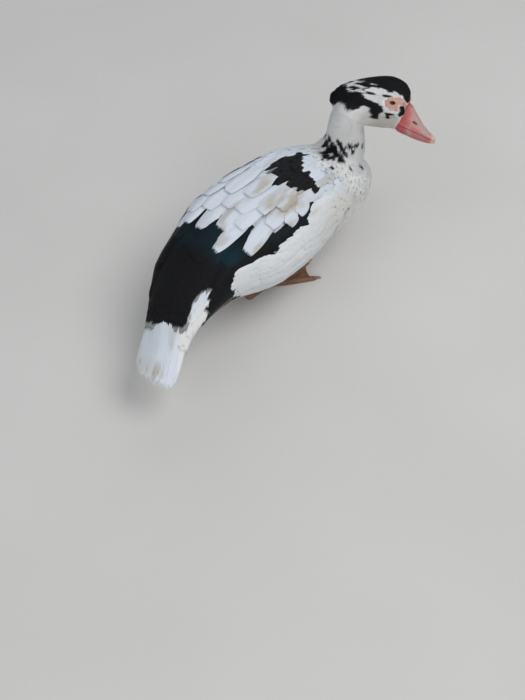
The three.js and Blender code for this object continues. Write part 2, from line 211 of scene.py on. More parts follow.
# Patches on the side of the head: forward and up from the line through the eyes
CROWN = [
    (-40, 11), (-28, 13), (-18, 14), (-8, 13), (0, 11), (5, 10), (10, 9), (14, 5), (17, 1), (26, 3),
    (26, 40), (-40, 40),
]
NAPE = [
    (-37, 14), (-38, 3), (-33, -1), (-26, -3), (-17, -6), (-12, -8), (-9, -12), (-13, -16), (-14, -21),
    (-21, -22), (-26, -17), (-27, -11), (-31, -9), (-40, -14), (-46, -17), (-52, -19), (-57, -14),
    (-66, -15), (-80, -12), (-80, 40), (-37, 40),
]
LORE = [(8, -3), (13, -2), (16, -7), (17, -13), (11, -16), (8, -14), (10, -9)]
FACE = [
    (-10, 0), (-7, 4), (-1, 6), (5, 7), (10, 6), (14, 3), (17, 0), (16, -6), (12, -9), (6, -11), (-1, -10),
    (-8, -7),
]
# Where the bill's skin starts, as forward by height on the head
BILL_BASE = keyed([(-40, 9), (-32, 9.5), (-27, 10), (-20, 12.5), (-14, 13.5), (-8, 14.5), (0, 17), (5, 20)])


def depth_inside(outline, places):
    """How far each flat place lies inside an outline, in its own units; less than 0 is outside."""
    start = np.array(outline, float)
    edge = np.roll(start, -1, axis=0) - start
    offset = places[:, None] - start
    share = np.clip((offset * edge).sum(axis=2) / (edge**2).sum(axis=1), 0, 1)
    away = np.sqrt(((offset - share[..., None] * edge) ** 2).sum(axis=2)).min(axis=1)
    level = np.where(edge[:, 1] == 0, 1e-9, edge[:, 1])
    left = offset[..., 0] < offset[..., 1] / level * edge[:, 0]
    straddles = (offset[..., 1] >= 0) != (offset[..., 1] - edge[:, 1] >= 0)
    inside = (straddles & left).sum(axis=1) % 2 == 1
    return np.where(inside, away, -away)


def depth_round(outline, places, turn):
    """How far places lie inside an outline that is drawn by x and degrees round the body, in millimetres."""
    scaled = [(x, degrees * DEGREE) for x, degrees in outline]
    return depth_inside(scaled, np.stack([places[:, 0], turn * DEGREE], axis=1))


def body_marks(places, turn):
    """How black and how glossy the trunk and the tail are."""
    ragged = mottle(places * [0.45, 1, 1], 9) * 1.8 + mottle(places, 4, 1)
    saddle, rear, far_band = (depth_round(patch, places, turn) + ragged for patch in (SADDLE, REAR, FAR_BAND))
    deepest = np.maximum.reduce([saddle + 2.5, rear, far_band])
    glossy = ramp(places[:, 0], -112, -100) * ramp(rear, -2, 4)
    return ramp(deepest, -0.6, 0.6), glossy * (0.55 + 0.45 * mottle(places, 30, 2))


def neck_blotches(places):
    """How black the blotches make the lower neck. The left side has nearly the same ones."""
    spots = np.array(NECK_SPOTS, float)
    spots = np.vstack([spots, spots * [1, -1, 1, 0.9] + [2, -32, -3, 0]])
    away = np.linalg.norm(places[:, None] - spots[:, :3], axis=2)
    inside = (spots[:, 3] - away).max(axis=1)
    return ramp(inside + mottle(places, 5, 7) * 1.6 + mottle(places, 2.5, 8) * 0.8, -1.3, 1.0)


def head_marks(places, head):
    """How far the head is black, bare round the eye, bare at the bill's base, and dark on the lore."""
    forward, _, up = head.T
    side_view = head[:, [0, 2]]
    fine = mottle(places, 3.5, 3) * 1.6 + mottle(places, 8, 4) * 1.5
    cap = np.maximum(depth_inside(CROWN, side_view), depth_inside(NAPE, side_view)) + fine
    white_hairs = ramp(mottle(head * [0.16, 1, 1], 2.6, 16), 0.05, 0.3) * ramp(forward, -66, -50)
    white_hairs *= ramp(forward, -12, -22) * ramp(up, 1, 4) * ramp(up, 18, 14)
    streaks = ramp(mottle(head * [0.2, 1, 1], 2.4, 5), 0.3, 0.55)
    streaks *= ramp(forward, -38, -30) * ramp(forward, 6, 0) * ramp(up, 2, 5)
    cheek = ramp(mottle(head * [0.6, 1, 1], 2.4, 6), 0.15, 0.4)
    cheek *= ramp(np.hypot((forward + 1) / 11, (up + 17) / 6), 1, 0.6)
    lore = ramp(depth_inside(LORE, side_view) + fine * 0.3, -0.5, 0.5)
    black = np.maximum.reduce([ramp(cap, -1.0, 0.8) * (1 - white_hairs), streaks, cheek, lore])
    face = ramp(depth_inside(FACE, side_view) + fine * 0.25, -0.4, 0.4)
    at_bill = ramp(forward - BILL_BASE(up)[0] + fine * 0.15, -0.3, 0.3)
    return black, face, at_bill, lore


def soil_and_shade_marks(places, turn, head, on_head, on_body):
    """How far the white plumage is creamy: dirt on the near scapulars, painted warm shade on the flank, and
    creamier under the throat, low on the belly and at the tail's left side.
    """
    x = places[:, 0]
    forward, _, up = head.T
    throat = 0.8 * ramp(up, -10, -20) * ramp(forward, -46, -30)
    # Painted warm shade on the flank's side
    flank = 0.36 * ramp(turn, 52, 76) * ramp(turn, 118, 100) * ramp(x, -40, 60)
    streaky = 0.55 + 0.6 * mottle(places * [0.2, 1, 1], 3.4, 17)
    smudge = 1.7 * bell(x, 2, 26) * bell(turn, 32, 15) * streaky
    lumps = 0.7 * ramp(mottle(places * [0.25, 1, 1], 9, 18), 0.1, 0.7)
    lumps *= ramp(turn, 64, 50) * ramp(turn, -30, 0)
    tail_side = 0.3 * ramp(x, -180, -215) * ramp(turn, 10, -40)
    belly = 0.22 * ramp(places[:, 2], 52, 34)
    soil_and_shade = throat * on_head + (flank + smudge + lumps + tail_side + belly) * on_body
    return soil_and_shade * (0.75 + 0.4 * mottle(places, 14, 9)) + 0.05


def markings(places):
    """How black, glossy, soiled and bare the bird is at places on it, each from 0 to 1.

    On white plumage the gloss stands for a painted blue shade of the sky's light, and on bare skin for the
    red at the bill's base. The soil holds dirt and cream, with painted warm shade on the flank.
    """
    along, _ = lie_of(places)
    turn = round_body(places)
    head = in_head(places)
    on_body = ramp(along, 176, 190)
    on_head = ramp(along, HEAD_END, 96)
    black, glossy = (part * on_body for part in body_marks(places, turn))
    head_black, face, at_bill, lore = (part * on_head for part in head_marks(places, head))
    black = np.maximum.reduce([black, head_black, neck_blotches(places)])
    # Painted blue shade of the sky's light over the upper back and the back's sides
    sky_shade = ramp(turn, 66, 50) * ramp(turn, -70, -50) * on_body * 0.8
    gloss = np.maximum(np.where(black > 0.5, glossy, sky_shade), at_bill * (1 - lore))
    bare = np.maximum(face, at_bill) * (1 - lore)
    soil_and_shade = soil_and_shade_marks(places, turn, head, on_head, on_body)
    return np.clip(np.stack([black * (1 - bare), gloss, soil_and_shade, bare], axis=1), 0, 1)


# Shader nodes, written as expressions


class Wire:
    """A socket of a material's nodes. Sums on wires add Math nodes."""

    def __init__(self, finish, socket):
        self.finish = finish
        self.socket = socket

    def math(self, operation, *others):
        return self.finish.node("Math", {"operation": operation}, [self, *others])

    def __add__(self, other):
        return self.math("ADD", other)

    def __sub__(self, other):
        return self.math("SUBTRACT", other)

    def __rsub__(self, other):
        return self.finish.node("Math", {"operation": "SUBTRACT"}, [other, self])

    def __mul__(self, other):
        return self.math("MULTIPLY", other)

    __radd__ = __add__
    __rmul__ = __mul__

    def sine(self):
        return self.math("SINE")

    def size(self):
        return self.math("ABSOLUTE")

    def between(self, low, high):
        """0 below low, 1 above high and smooth in between."""
        settings = {"interpolation_type": "SMOOTHSTEP"}
        return self.finish.node("MapRange", settings, {"Value": self, "From Min": low, "From Max": high})


class Finish:
    """A material round one Principled shader."""

    def __init__(self, name, constants=()):
        self.material = bpy.data.materials.new(name)
        self.material.use_nodes = True
        self.tree = self.material.node_tree
        self.shader = self.tree.nodes["Principled BSDF"]
        for socket, value in dict(constants).items():
            self.shader.inputs[socket].default_value = value

    def node(self, kind, settings=(), inputs=(), output=0):
        made = self.tree.nodes.new("ShaderNode" + kind)
        for setting, value in dict(settings).items():
            setattr(made, setting, value)
        named = inputs.items() if isinstance(inputs, dict) else enumerate(inputs)
        for socket, value in named:
            self.join(value, made.inputs[socket])
        return Wire(self, made.outputs[output])

    def join(self, value, socket):
        if isinstance(value, Wire):
            self.tree.links.new(value.socket, socket)
        else:
            socket.default_value = value

    def set(self, socket, value):
        self.join(value, self.shader.inputs[socket])

    def place(self):
        return self.node("TexCoord", output="Object")

    def attribute(self, name, output="Fac"):
        return self.node("Attribute", {"attribute_name": name}, output=output)

    def parts(self, kind, value):
        """The three parts of a colour or a vector, from a node of that kind."""
        made = self.tree.nodes.new("ShaderNode" + kind)
        self.join(value, made.inputs[0])
        return [Wire(self, socket) for socket in made.outputs]

    def noise(self, scale, detail=3):
        inputs = {"Vector": self.place(), "Scale": scale, "Detail": detail, "Roughness": 0.55}
        return self.node("TexNoise", inputs=inputs)

    def cells(self, scale):
        inputs = {"Vector": self.place(), "Scale": scale}
        return self.node("TexVoronoi", {"feature": "F1"}, inputs, output="Distance")

    def mix(self, share, one, other):
        made = self.tree.nodes.new("ShaderNodeMix")
        made.data_type = "RGBA"
        for socket, value in zip((made.inputs[0], made.inputs[6], made.inputs[7]), (share, one, other)):
            self.join(value, socket)
        return Wire(self, made.outputs[2])

    def bump(self, height, strength, distance):
        inputs = {"Height": height, "Strength": strength, "Distance": distance}
        self.set("Normal", self.node("Bump", inputs=inputs))


WHITE = (0.80, 0.80, 0.78, 1)
# White in painted blue shade of the sky's light
SKY_SHADED_WHITE = (0.66, 0.74, 0.84, 1)
# Cream for dirt and creamy parts, and for painted warm shade on the flank
CREAM = (0.44, 0.385, 0.30, 1)
SHADE = (0.55, 0.57, 0.60, 1)
BLACK = (0.006, 0.006, 0.007, 1)
GREEN_BLACK = (0.004, 0.032, 0.042, 1)
FACE_SKIN = (0.54, 0.29, 0.21, 1)
PALE_SKIN = (0.62, 0.45, 0.37, 1)
FACE_RED = (0.46, 0.15, 0.11, 1)
BILL_RED = (0.42, 0.065, 0.07, 1)
BILL_PINK = (0.56, 0.23, 0.21, 1)
BILL_GREY = (0.42, 0.31, 0.27, 1)
BILL_PALE = (0.62, 0.46, 0.38, 1)
BILL_SPECK = (0.20, 0.09, 0.08, 1)
# Painted shade inside the nostrils
NOSTRIL_SHADE = (0.05, 0.015, 0.015, 1)
PUPIL = (0.002, 0.002, 0.002, 1)
IRIS = ((0.022, 0.009, 0.005, 1), (0.085, 0.035, 0.014, 1))
IRIS_RIM = (0.012, 0.008, 0.006, 1)
LID_RIM = (0.30, 0.12, 0.09, 1)
LEG_BROWN = ((0.25, 0.125, 0.062, 1), (0.15, 0.078, 0.045, 1))
LEG_GRIME = (0.08, 0.05, 0.035, 1)
# Painted shade in the leg's grooves
GROOVE_SHADE = (0.07, 0.035, 0.02, 1)
CLAW = ((0.10, 0.06, 0.04, 1), (0.28, 0.19, 0.13, 1))
FLOOR = ((0.60, 0.585, 0.56, 1), (0.64, 0.625, 0.60, 1))


def plumage_colour(finish, marks, streak_and_shade):
    """The colour of plumage from its marks, darkened a little by streaks and painted shade, and how black and
    glossy it is.
    """
    black, gloss, soil_and_shade = finish.parts("SeparateColor", marks)
    # On white plumage the gloss paints a blue sky-light shade
    white = finish.mix(gloss, WHITE, SKY_SHADED_WHITE)
    white = finish.mix(soil_and_shade, white, CREAM)
    shaded = finish.mix(streak_and_shade, white, SHADE)
    dark = finish.mix(gloss, BLACK, GREEN_BLACK)
    return finish.mix(black, shaded, dark), black, gloss


def plumage():
    finish = Finish("plumage", {"Specular IOR Level": 0.12})
    marks = finish.attribute("marks", "Color")
    across, along, _ = finish.parts("SeparateXYZ", finish.node("UVMap", {"uv_map": "vane"}))
    from_shaft = (across - 0.5).size()
    barbs = ((along * 150 - from_shaft * 90).sine() + 1) * 0.5
    worn = finish.noise(240, 4).between(0.45, 0.75)
    shaft = 1 - from_shaft.between(0.012, 0.03)
    # tone: each feather's own random darkening, and on the small feathers a painted shade in soft mottled
    # patches
    tone = finish.attribute("tone")
    streak_and_shade = barbs * 0.16 + worn * 0.12 + shaft * 0.25 + tone
    colour, black, _ = plumage_colour(finish, marks, streak_and_shade)
    finish.set("Base Color", colour)
    finish.set("Roughness", 0.80 - black * 0.30)
    finish.bump(barbs + shaft * 1.5, 0.35, 0.0002)
    return finish.material


def bare_and_down():
    """The skin: down under the feathers, and bare skin with small warts on the face."""
    finish = Finish("skin", {"Specular IOR Level": 0.35})
    bare = finish.attribute("bare")
    warts = finish.cells(900)
    down, _, at_bill = plumage_colour(finish, finish.attribute("marks", "Color"), finish.noise(700) * 0.3)
    flesh = finish.mix(warts.between(0.1, 0.7), FACE_SKIN, FACE_RED)
    flesh = finish.mix(finish.noise(160).between(0.35, 0.7), flesh, PALE_SKIN)
    flesh = finish.mix(at_bill, flesh, BILL_RED)
    finish.set("Base Color", finish.mix(bare, down, flesh))
    finish.set("Roughness", 0.85 - bare * 0.35)
    finish.bump((1 - warts) * bare, 0.6, 0.0006)
    return finish.material


def bill_horn():
    finish = Finish("bill_horn", {"Specular IOR Level": 0.45})
    along, height, _ = finish.parts("SeparateXYZ", finish.attribute("place", "Vector"))
    patchy = finish.noise(130, 4)
    mottled = finish.mix(patchy.between(0.40, 0.58), BILL_PINK, BILL_GREY)
    upper = height.between(0.3, 0.75) * along.between(20, 28)
    mottled = finish.mix(upper * 0.6, mottled, BILL_GREY)
    base = finish.mix((along + patchy * 10).between(22, 34), BILL_RED, mottled)
    base = finish.mix((1 - height.between(0.05, 0.45)) * along.between(24, 30) * 0.55, base, BILL_RED)
    nail = finish.mix(along.between(51.0, 55.5), base, BILL_PALE)
    specks = finish.noise(520, 2).between(0.62, 0.70) * 0.5
    specked = finish.mix(specks, nail, BILL_SPECK)
    # The nostrils' insides are darkened with painted shade
    finish.set("Base Color", finish.mix(finish.attribute("nostril_shade") * 0.85, specked, NOSTRIL_SHADE))
    finish.set("Roughness", 0.36 + finish.noise(300) * 0.25)
    finish.bump(finish.noise(700, 5) + finish.cells(800) * 0.4, 0.3, 0.0003)
    return finish.material


def eye_wet():
    constants = {"Roughness": 0.12, "Specular IOR Level": 0.25, "Coat Weight": 0.35, "Coat Roughness": 0.02}
    finish = Finish("eye_wet", constants)
    off = finish.attribute("off")
    fibres = finish.noise(1400, 4)
    iris = finish.mix(fibres.between(0.3, 0.7), *IRIS)
    ringed = finish.mix(off.between(3.7, 4.3), iris, IRIS_RIM)
    finish.set("Base Color", finish.mix(off.between(1.9, 2.2), PUPIL, ringed))
    return finish.material


def leg_skin():
    finish = Finish("leg_skin", {"Specular IOR Level": 0.4})
    deep = finish.attribute("groove")
    patchy = finish.noise(90, 4).between(0.35, 0.7)
    tint = finish.mix(patchy, *LEG_BROWN)
    grime = finish.noise(260, 5).between(0.5, 0.8) * 0.6
    tint = finish.mix(grime, tint, LEG_GRIME)
    # Painted shade darkens the grooves between the scutes and the wrinkles of the web
    finish.set("Base Color", finish.mix(deep * 0.7, tint, GROOVE_SHADE))
    finish.set("Roughness", 0.5 + deep * 0.3)
    finish.bump(finish.noise(900, 4) + finish.cells(1500) * 0.5, 0.4, 0.0003)
    return finish.material


def lid_skin():
    """The bare skin of the lids, darker and smoother on their rims."""
    finish = Finish("lid_skin", {"Specular IOR Level": 0.4})
    warts = finish.cells(1100)
    rim = finish.attribute("rim")
    tone = finish.mix(finish.noise(240, 3).between(0.35, 0.7), FACE_SKIN, PALE_SKIN)
    tone = finish.mix(warts.between(0.35, 0.8) * 0.5, tone, FACE_RED)
    finish.set("Base Color", finish.mix(rim * 0.75, tone, LID_RIM))
    finish.set("Roughness", 0.55 - rim * 0.25)
    finish.bump(1 - warts, 0.45, 0.0004)
    return finish.material


def claw_horn():
    finish = Finish("claw_horn", {"Roughness": 0.38})
    grain = finish.noise(500, 4).between(0.3, 0.75)
    finish.set("Base Color", finish.mix(grain, *CLAW))
    finish.bump(finish.noise(900), 0.2, 0.0002)
    return finish.material


def plain_floor():
    finish = Finish("floor", {"Roughness": 0.9})
    tint = finish.noise(3.0, 2).between(0.2, 0.8)
    finish.set("Base Color", finish.mix(tint, *FLOOR))
    return finish.material


# Meshes


def flat_list(items, name, width, kind=np.float32):
    """The same value of each of a mesh's items, as an array."""
    found = np.empty(len(items) * width, kind)
    items.foreach_get(name, found)
    return found.reshape(-1, width) if width > 1 else found


def points_of(piece):
    return flat_list(piece.data.vertices, "co", 3).astype(float)


def normals_of(piece):
    return flat_list(piece.data.vertex_normals, "vector", 3).astype(float)


def move_points(piece, points):
    piece.data.vertices.foreach_set("co", points.astype(np.float32).ravel())
    piece.data.update()


def make_piece(name, points, faces, material):
    """A mesh from points in the scene and faces with the same number of corners."""
    faces = np.asarray(faces, np.int32)
    mesh = bpy.data.meshes.new(name)
    mesh.vertices.add(len(points))
    mesh.vertices.foreach_set("co", np.asarray(points, np.float32).ravel())
    mesh.loops.add(faces.size)
    mesh.loops.foreach_set("vertex_index", faces.ravel())
    mesh.polygons.add(len(faces))
    mesh.polygons.foreach_set("loop_start", np.arange(0, faces.size, faces.shape[1], dtype=np.int32))
    mesh.update(calc_edges=True)
    mesh.polygons.foreach_set("use_smooth", np.full(len(faces), True))
    piece = bpy.data.objects.new(name, mesh)
    bpy.context.collection.objects.link(piece)
    mesh.materials.append(material)
    return piece


def store(piece, name, values, kind="FLOAT"):
    """Keeps a value for each point, for the materials to read."""
    layer = piece.data.attributes.new(name, kind, "POINT")
    field = {"FLOAT": "value", "FLOAT_COLOR": "color", "FLOAT_VECTOR": "vector"}[kind]
    layer.data.foreach_set(field, np.asarray(values, np.float32).ravel())


def store_marks(piece, places):
    found = markings(places)
    store(piece, "marks", np.hstack([found[:, :3], np.ones((len(found), 1))]), "FLOAT_COLOR")
    store(piece, "bare", found[:, 3])


def store_map(piece, name, places):
    """A UV map from a place for each point."""
    layer = piece.data.uv_layers.new(name=name)
    corners = flat_list(piece.data.loops, "vertex_index", 1, np.int32)
    layer.uv.foreach_set("vector", places[corners].astype(np.float32).ravel())


def select_only(piece):
    bpy.ops.object.select_all(action="DESELECT")
    piece.select_set(True)
    bpy.context.view_layer.objects.active = piece


def apply_modifier(piece, kind, **settings):
    select_only(piece)
    modifier = piece.modifiers.new(kind.lower(), kind)
    for setting, value in settings.items():
        setattr(modifier, setting, value)
    bpy.ops.object.modifier_apply(modifier=modifier.name)


GROW_BACK = 1.03  # each round of smoothing is followed by this much of it the other way


def relax(piece, rounds, share=0.6, keep=None):
    """Smooths a surface without shrinking it. Points with keep near 1 stay where they are."""
    edges = flat_list(piece.data.edges, "vertices", 2, np.int32)
    points = points_of(piece)
    pairs = np.vstack([edges, edges[:, ::-1]])
    count = np.bincount(pairs[:, 0], minlength=len(points))[:, None]
    free = 1 if keep is None else (1 - keep)[:, None]
    for _ in range(rounds):
        for step in (share, -share * GROW_BACK):
            sums = [np.bincount(pairs[:, 0], points[pairs[:, 1], i], len(points)) for i in range(3)]
            points = points + (np.stack(sums, axis=1) / count - points) * step * free
    move_points(piece, points)


SAME_PLACE = 0.00001  # corners of a node's triangles that are nearer than this are one
# How finely a surface round copies of the frame's nodes is made, and how often it is smoothed
SKIN_MADE = (1.7, 45)
BILL_MADE = (0.55, 14)
SHANK_MADE = (0.7, 10)
FOOT_MADE = (0.62, 8)
CLAW_MADE = (0.4, 6)


def from_nodes(name, nodes, voxel, material):
    """One closed surface round copies of the frame's nodes."""
    bpy.ops.object.select_all(action="DESELECT")
    for node in nodes:
        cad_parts[node].select_set(True)
    bpy.context.view_layer.objects.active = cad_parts[nodes[0]]
    bpy.ops.object.duplicate()
    if len(nodes) > 1:
        bpy.ops.object.join()
    piece = bpy.context.object
    piece.name = piece.data.name = name
    bpy.ops.object.mode_set(mode="EDIT")
    bpy.ops.mesh.select_all(action="SELECT")
    bpy.ops.mesh.remove_doubles(threshold=SAME_PLACE)
    bpy.ops.object.mode_set(mode="OBJECT")
    apply_modifier(piece, "REMESH", mode="VOXEL", voxel_size=voxel * MM)
    piece.data.materials.clear()
    piece.data.materials.append(material)
    piece.data.polygons.foreach_set("use_smooth", np.full(len(piece.data.polygons), True))
    return piece


def smooth_copy(name, node, made, material, share=0.6):
    voxel, rounds = made
    piece = from_nodes(name, [node], voxel, material)
    relax(piece, rounds, share)
    return piece


OUTSIDE = 150  # farther than this from its middle line there is no body


class Ground:
    """A surface that feathers are laid on."""

    def __init__(self, piece):
        self.tree = BVHTree.FromObject(piece, bpy.context.evaluated_depsgraph_get())
        corners = flat_list(piece.data.loops, "vertex_index", 1, np.int32)
        starts = flat_list(piece.data.polygons, "loop_start", 1, np.int32)
        self.face_normals = unit(np.add.reduceat(normals_of(piece)[corners], starts, axis=0))

    def met(self, hits):
        """The places of hits on the surface, and the way it faces there."""
        return np.array([hit[0] for hit in hits]), self.face_normals[[hit[2] for hit in hits]]

    def nearest(self, points):
        return self.met([self.tree.find_nearest(Vector(point)) for point in points])

    def round_at(self, spots):
        """The surface's outer points at each x and turn round the body, and the way it faces there."""
        turn = np.radians(spots[:, 1])
        out = np.stack([np.zeros(len(turn)), -np.sin(turn), np.cos(turn)], axis=1)
        starts = in_scene(middle_at(spots[:, 0]) + out * OUTSIDE)
        return self.met([self.tree.ray_cast(Vector(start), Vector(-way)) for start, way in zip(starts, out)])

    def thickness(self, points, normals, most):
        """How thick the body is behind each point, up to most, in metres."""
        found = []
        for point, normal in zip(points, normals):
            hit = self.tree.ray_cast(Vector(point - normal * 1e-5), Vector(-normal), most)
            found.append(most if hit[3] is None else hit[3])
        return np.array(found)


FLESH = [
    "trunk", "head", "neck", "tail", "wing_right", "wing_left", "primaries_right", "primaries_left",
    "thigh_right", "thigh_left",
]
# Along the coat's line: how deep the coat is
COAT_DEPTH = keyed([
    (0, 0.7), (40, 0.9), (80, 1.3), (130, 1.7), (175, 2.1), (240, 2.4), (430, 2.4), (500, 1.7), (560, 1.0),
])
MOST_COAT = 0.3  # the coat is never deeper than this share of the body's thickness
UNDER_BILL = 2.4  # the skin lies this much deeper inside the bill
MOST_UNDER_BILL = 0.12  # and never deeper than this share of the thickness there
TAIL_DRAWN_IN = 14  # the skin's rear end is drawn in this far, under the tail feathers


def make_skin(material):
    within = ["bill_upper", "bill_lower", "eye_right", "eye_left"]
    voxel, rounds = SKIN_MADE
    skin = from_nodes("skin", FLESH + within, voxel, material)
    places = on_bird(points_of(skin))
    thin = ramp(places[:, 0], -190, -225) * 0.8
    relax(skin, rounds, keep=thin)
    points, normals = points_of(skin), normals_of(skin)
    along, _ = lie_of(on_bird(points))
    depth = COAT_DEPTH(along)[0] * MM
    thickness = Ground(skin).thickness(points, normals, 0.03)
    forward, _, up = in_head(on_bird(points)).T
    in_bill = ramp(forward - BILL_BASE(up)[0], 2.0, 5.0) * (along < 40)
    depth = np.minimum(depth, thickness * MOST_COAT)
    depth = depth + in_bill * np.minimum(UNDER_BILL * MM, thickness * MOST_UNDER_BILL)
    points = points - normals * depth[:, None]
    points[:, 0] += TAIL_DRAWN_IN * MM * ramp(on_bird(points)[:, 0], -195, -250)
    move_points(skin, points)
    relax(skin, 6, keep=thin)
    store_marks(skin, on_bird(points_of(skin)))
    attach(skin, "root")
    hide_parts(*FLESH)
    return skin


# Feathers


class Vane:
    """The outline and faces of one kind of feather, with t from its root to its tip and u across it.

    rows holds the t and the number of points of each row across. A row has as many points as the one
    before it, or one more between each two. Between each two points of the last row a barb runs to the
    tip. The front and the back share the points of the two edges and of the first row.
    """

    def __init__(self, rows):
        self.levels = np.array([t for t, _ in rows] + [1])
        self.spots = []  # level, u and, for a point of the back, the point of the front that it is behind
        self.faces = []
        self.of_back = []
        fronts = [[self.spot(i, u) for u in np.linspace(-1, 1, count)] for i, (_, count) in enumerate(rows)]
        backs = [fronts[0]]
        for front in fronts[1:]:
            inner = [self.spot(*self.spots[j][:2], j) for j in front[1:-1]]
            backs.append([front[0], *inner, front[-1]])
        for i in range(1, len(rows)):
            self.strip(fronts[i - 1], fronts[i], False)
            self.strip(backs[i - 1], backs[i], True)
        self.last = np.array(fronts[-1])
        self.tips = []
        for j in range(len(fronts[-1]) - 1):
            self.barb(fronts[-1][j : j + 2], backs[-1][j : j + 2], len(rows))
        self.t = self.levels[[level for level, _, _ in self.spots]]
        self.u = np.array([u for _, u, _ in self.spots])
        self.faces = np.array(self.faces)
        self.of_back = np.array(self.of_back)

    def spot(self, level, u, behind=None):
        self.spots.append((level, u, behind))
        return len(self.spots) - 1

    def face(self, corners, of_back):
        self.faces.append(corners[::-1] if of_back else corners)
        self.of_back.append(of_back)

    def strip(self, near, far, of_back):
        for j in range(len(near) - 1):
            a, b = near[j : j + 2]
            if len(far) == len(near) and 2 * j < len(near) - 1:
                self.face((a, b, far[j + 1]), of_back)
                self.face((a, far[j + 1], far[j]), of_back)
            elif len(far) == len(near):
                self.face((a, b, far[j]), of_back)
                self.face((b, far[j + 1], far[j]), of_back)
            else:
                c, d, e = far[2 * j : 2 * j + 3]
                self.face((a, b, d), of_back)
                self.face((a, d, c), of_back)
                self.face((b, e, d), of_back)

    def barb(self, front, back, level):
        tip = self.spot(level, (self.spots[front[0]][1] + self.spots[front[1]][1]) / 2)
        self.tips.append(tip)
        self.face((front[0], front[1], tip), False)
        self.face((back[0], back[1], tip), True)
        if front[0] != back[0]:
            self.face((back[0], front[0], tip), False)
        if front[1] != back[1]:
            self.face((front[1], back[1], tip), False)


TUFT = Vane([(0, 2), (0.5, 3)])
NARROW_VANE = Vane([(0, 2), (0.34, 3), (0.74, 5)])
SOFT_VANE = Vane([(0, 2), (0.26, 3), (0.52, 5), (0.76, 9), (0.92, 17)])
LONG_VANE = Vane([
    (0, 5), (0.08, 5), (0.18, 5), (0.3, 5), (0.42, 5), (0.54, 5), (0.64, 9), (0.73, 9), (0.81, 9), (0.88, 9),
    (0.94, 17),
])


def half_width(t, root, shoulder, tip):
    """Half a vane's width along it, as a share: narrow at the root and rounded at the tip."""
    over = np.clip((t - shoulder) / (1 - shoulder), 0, 1)
    return (root + (1 - root) * ramp(t, 0, shoulder)) * np.sqrt(1 - over**2.6 * (1 - tip**2))


PATCH = 0.003  # a small feather's size on the map named OFBake
CELL = 0.86  # a large feather's share of its cell there
# A feather's run from root to tip: how early it rises, how late its tip drops, and how far it thins
RISES = 2.2
DROPS = 5
THINS = 0.75
MARKED_AT = 0.72  # the place along a feather that gives it the colour of its outer part
# A feather's shape where a group doesn't say otherwise, as Coat.lay explains
FEATHER = {
    "outline": (0.3, 0.5, 0.5), "camber": 0.4, "droop": 0.3, "thick": 0.25, "drape": False, "bow": 0.25,
    "fray": 0.5, "whole": 0.75, "soft": 0.12, "tone": 0, "marks": None,
}


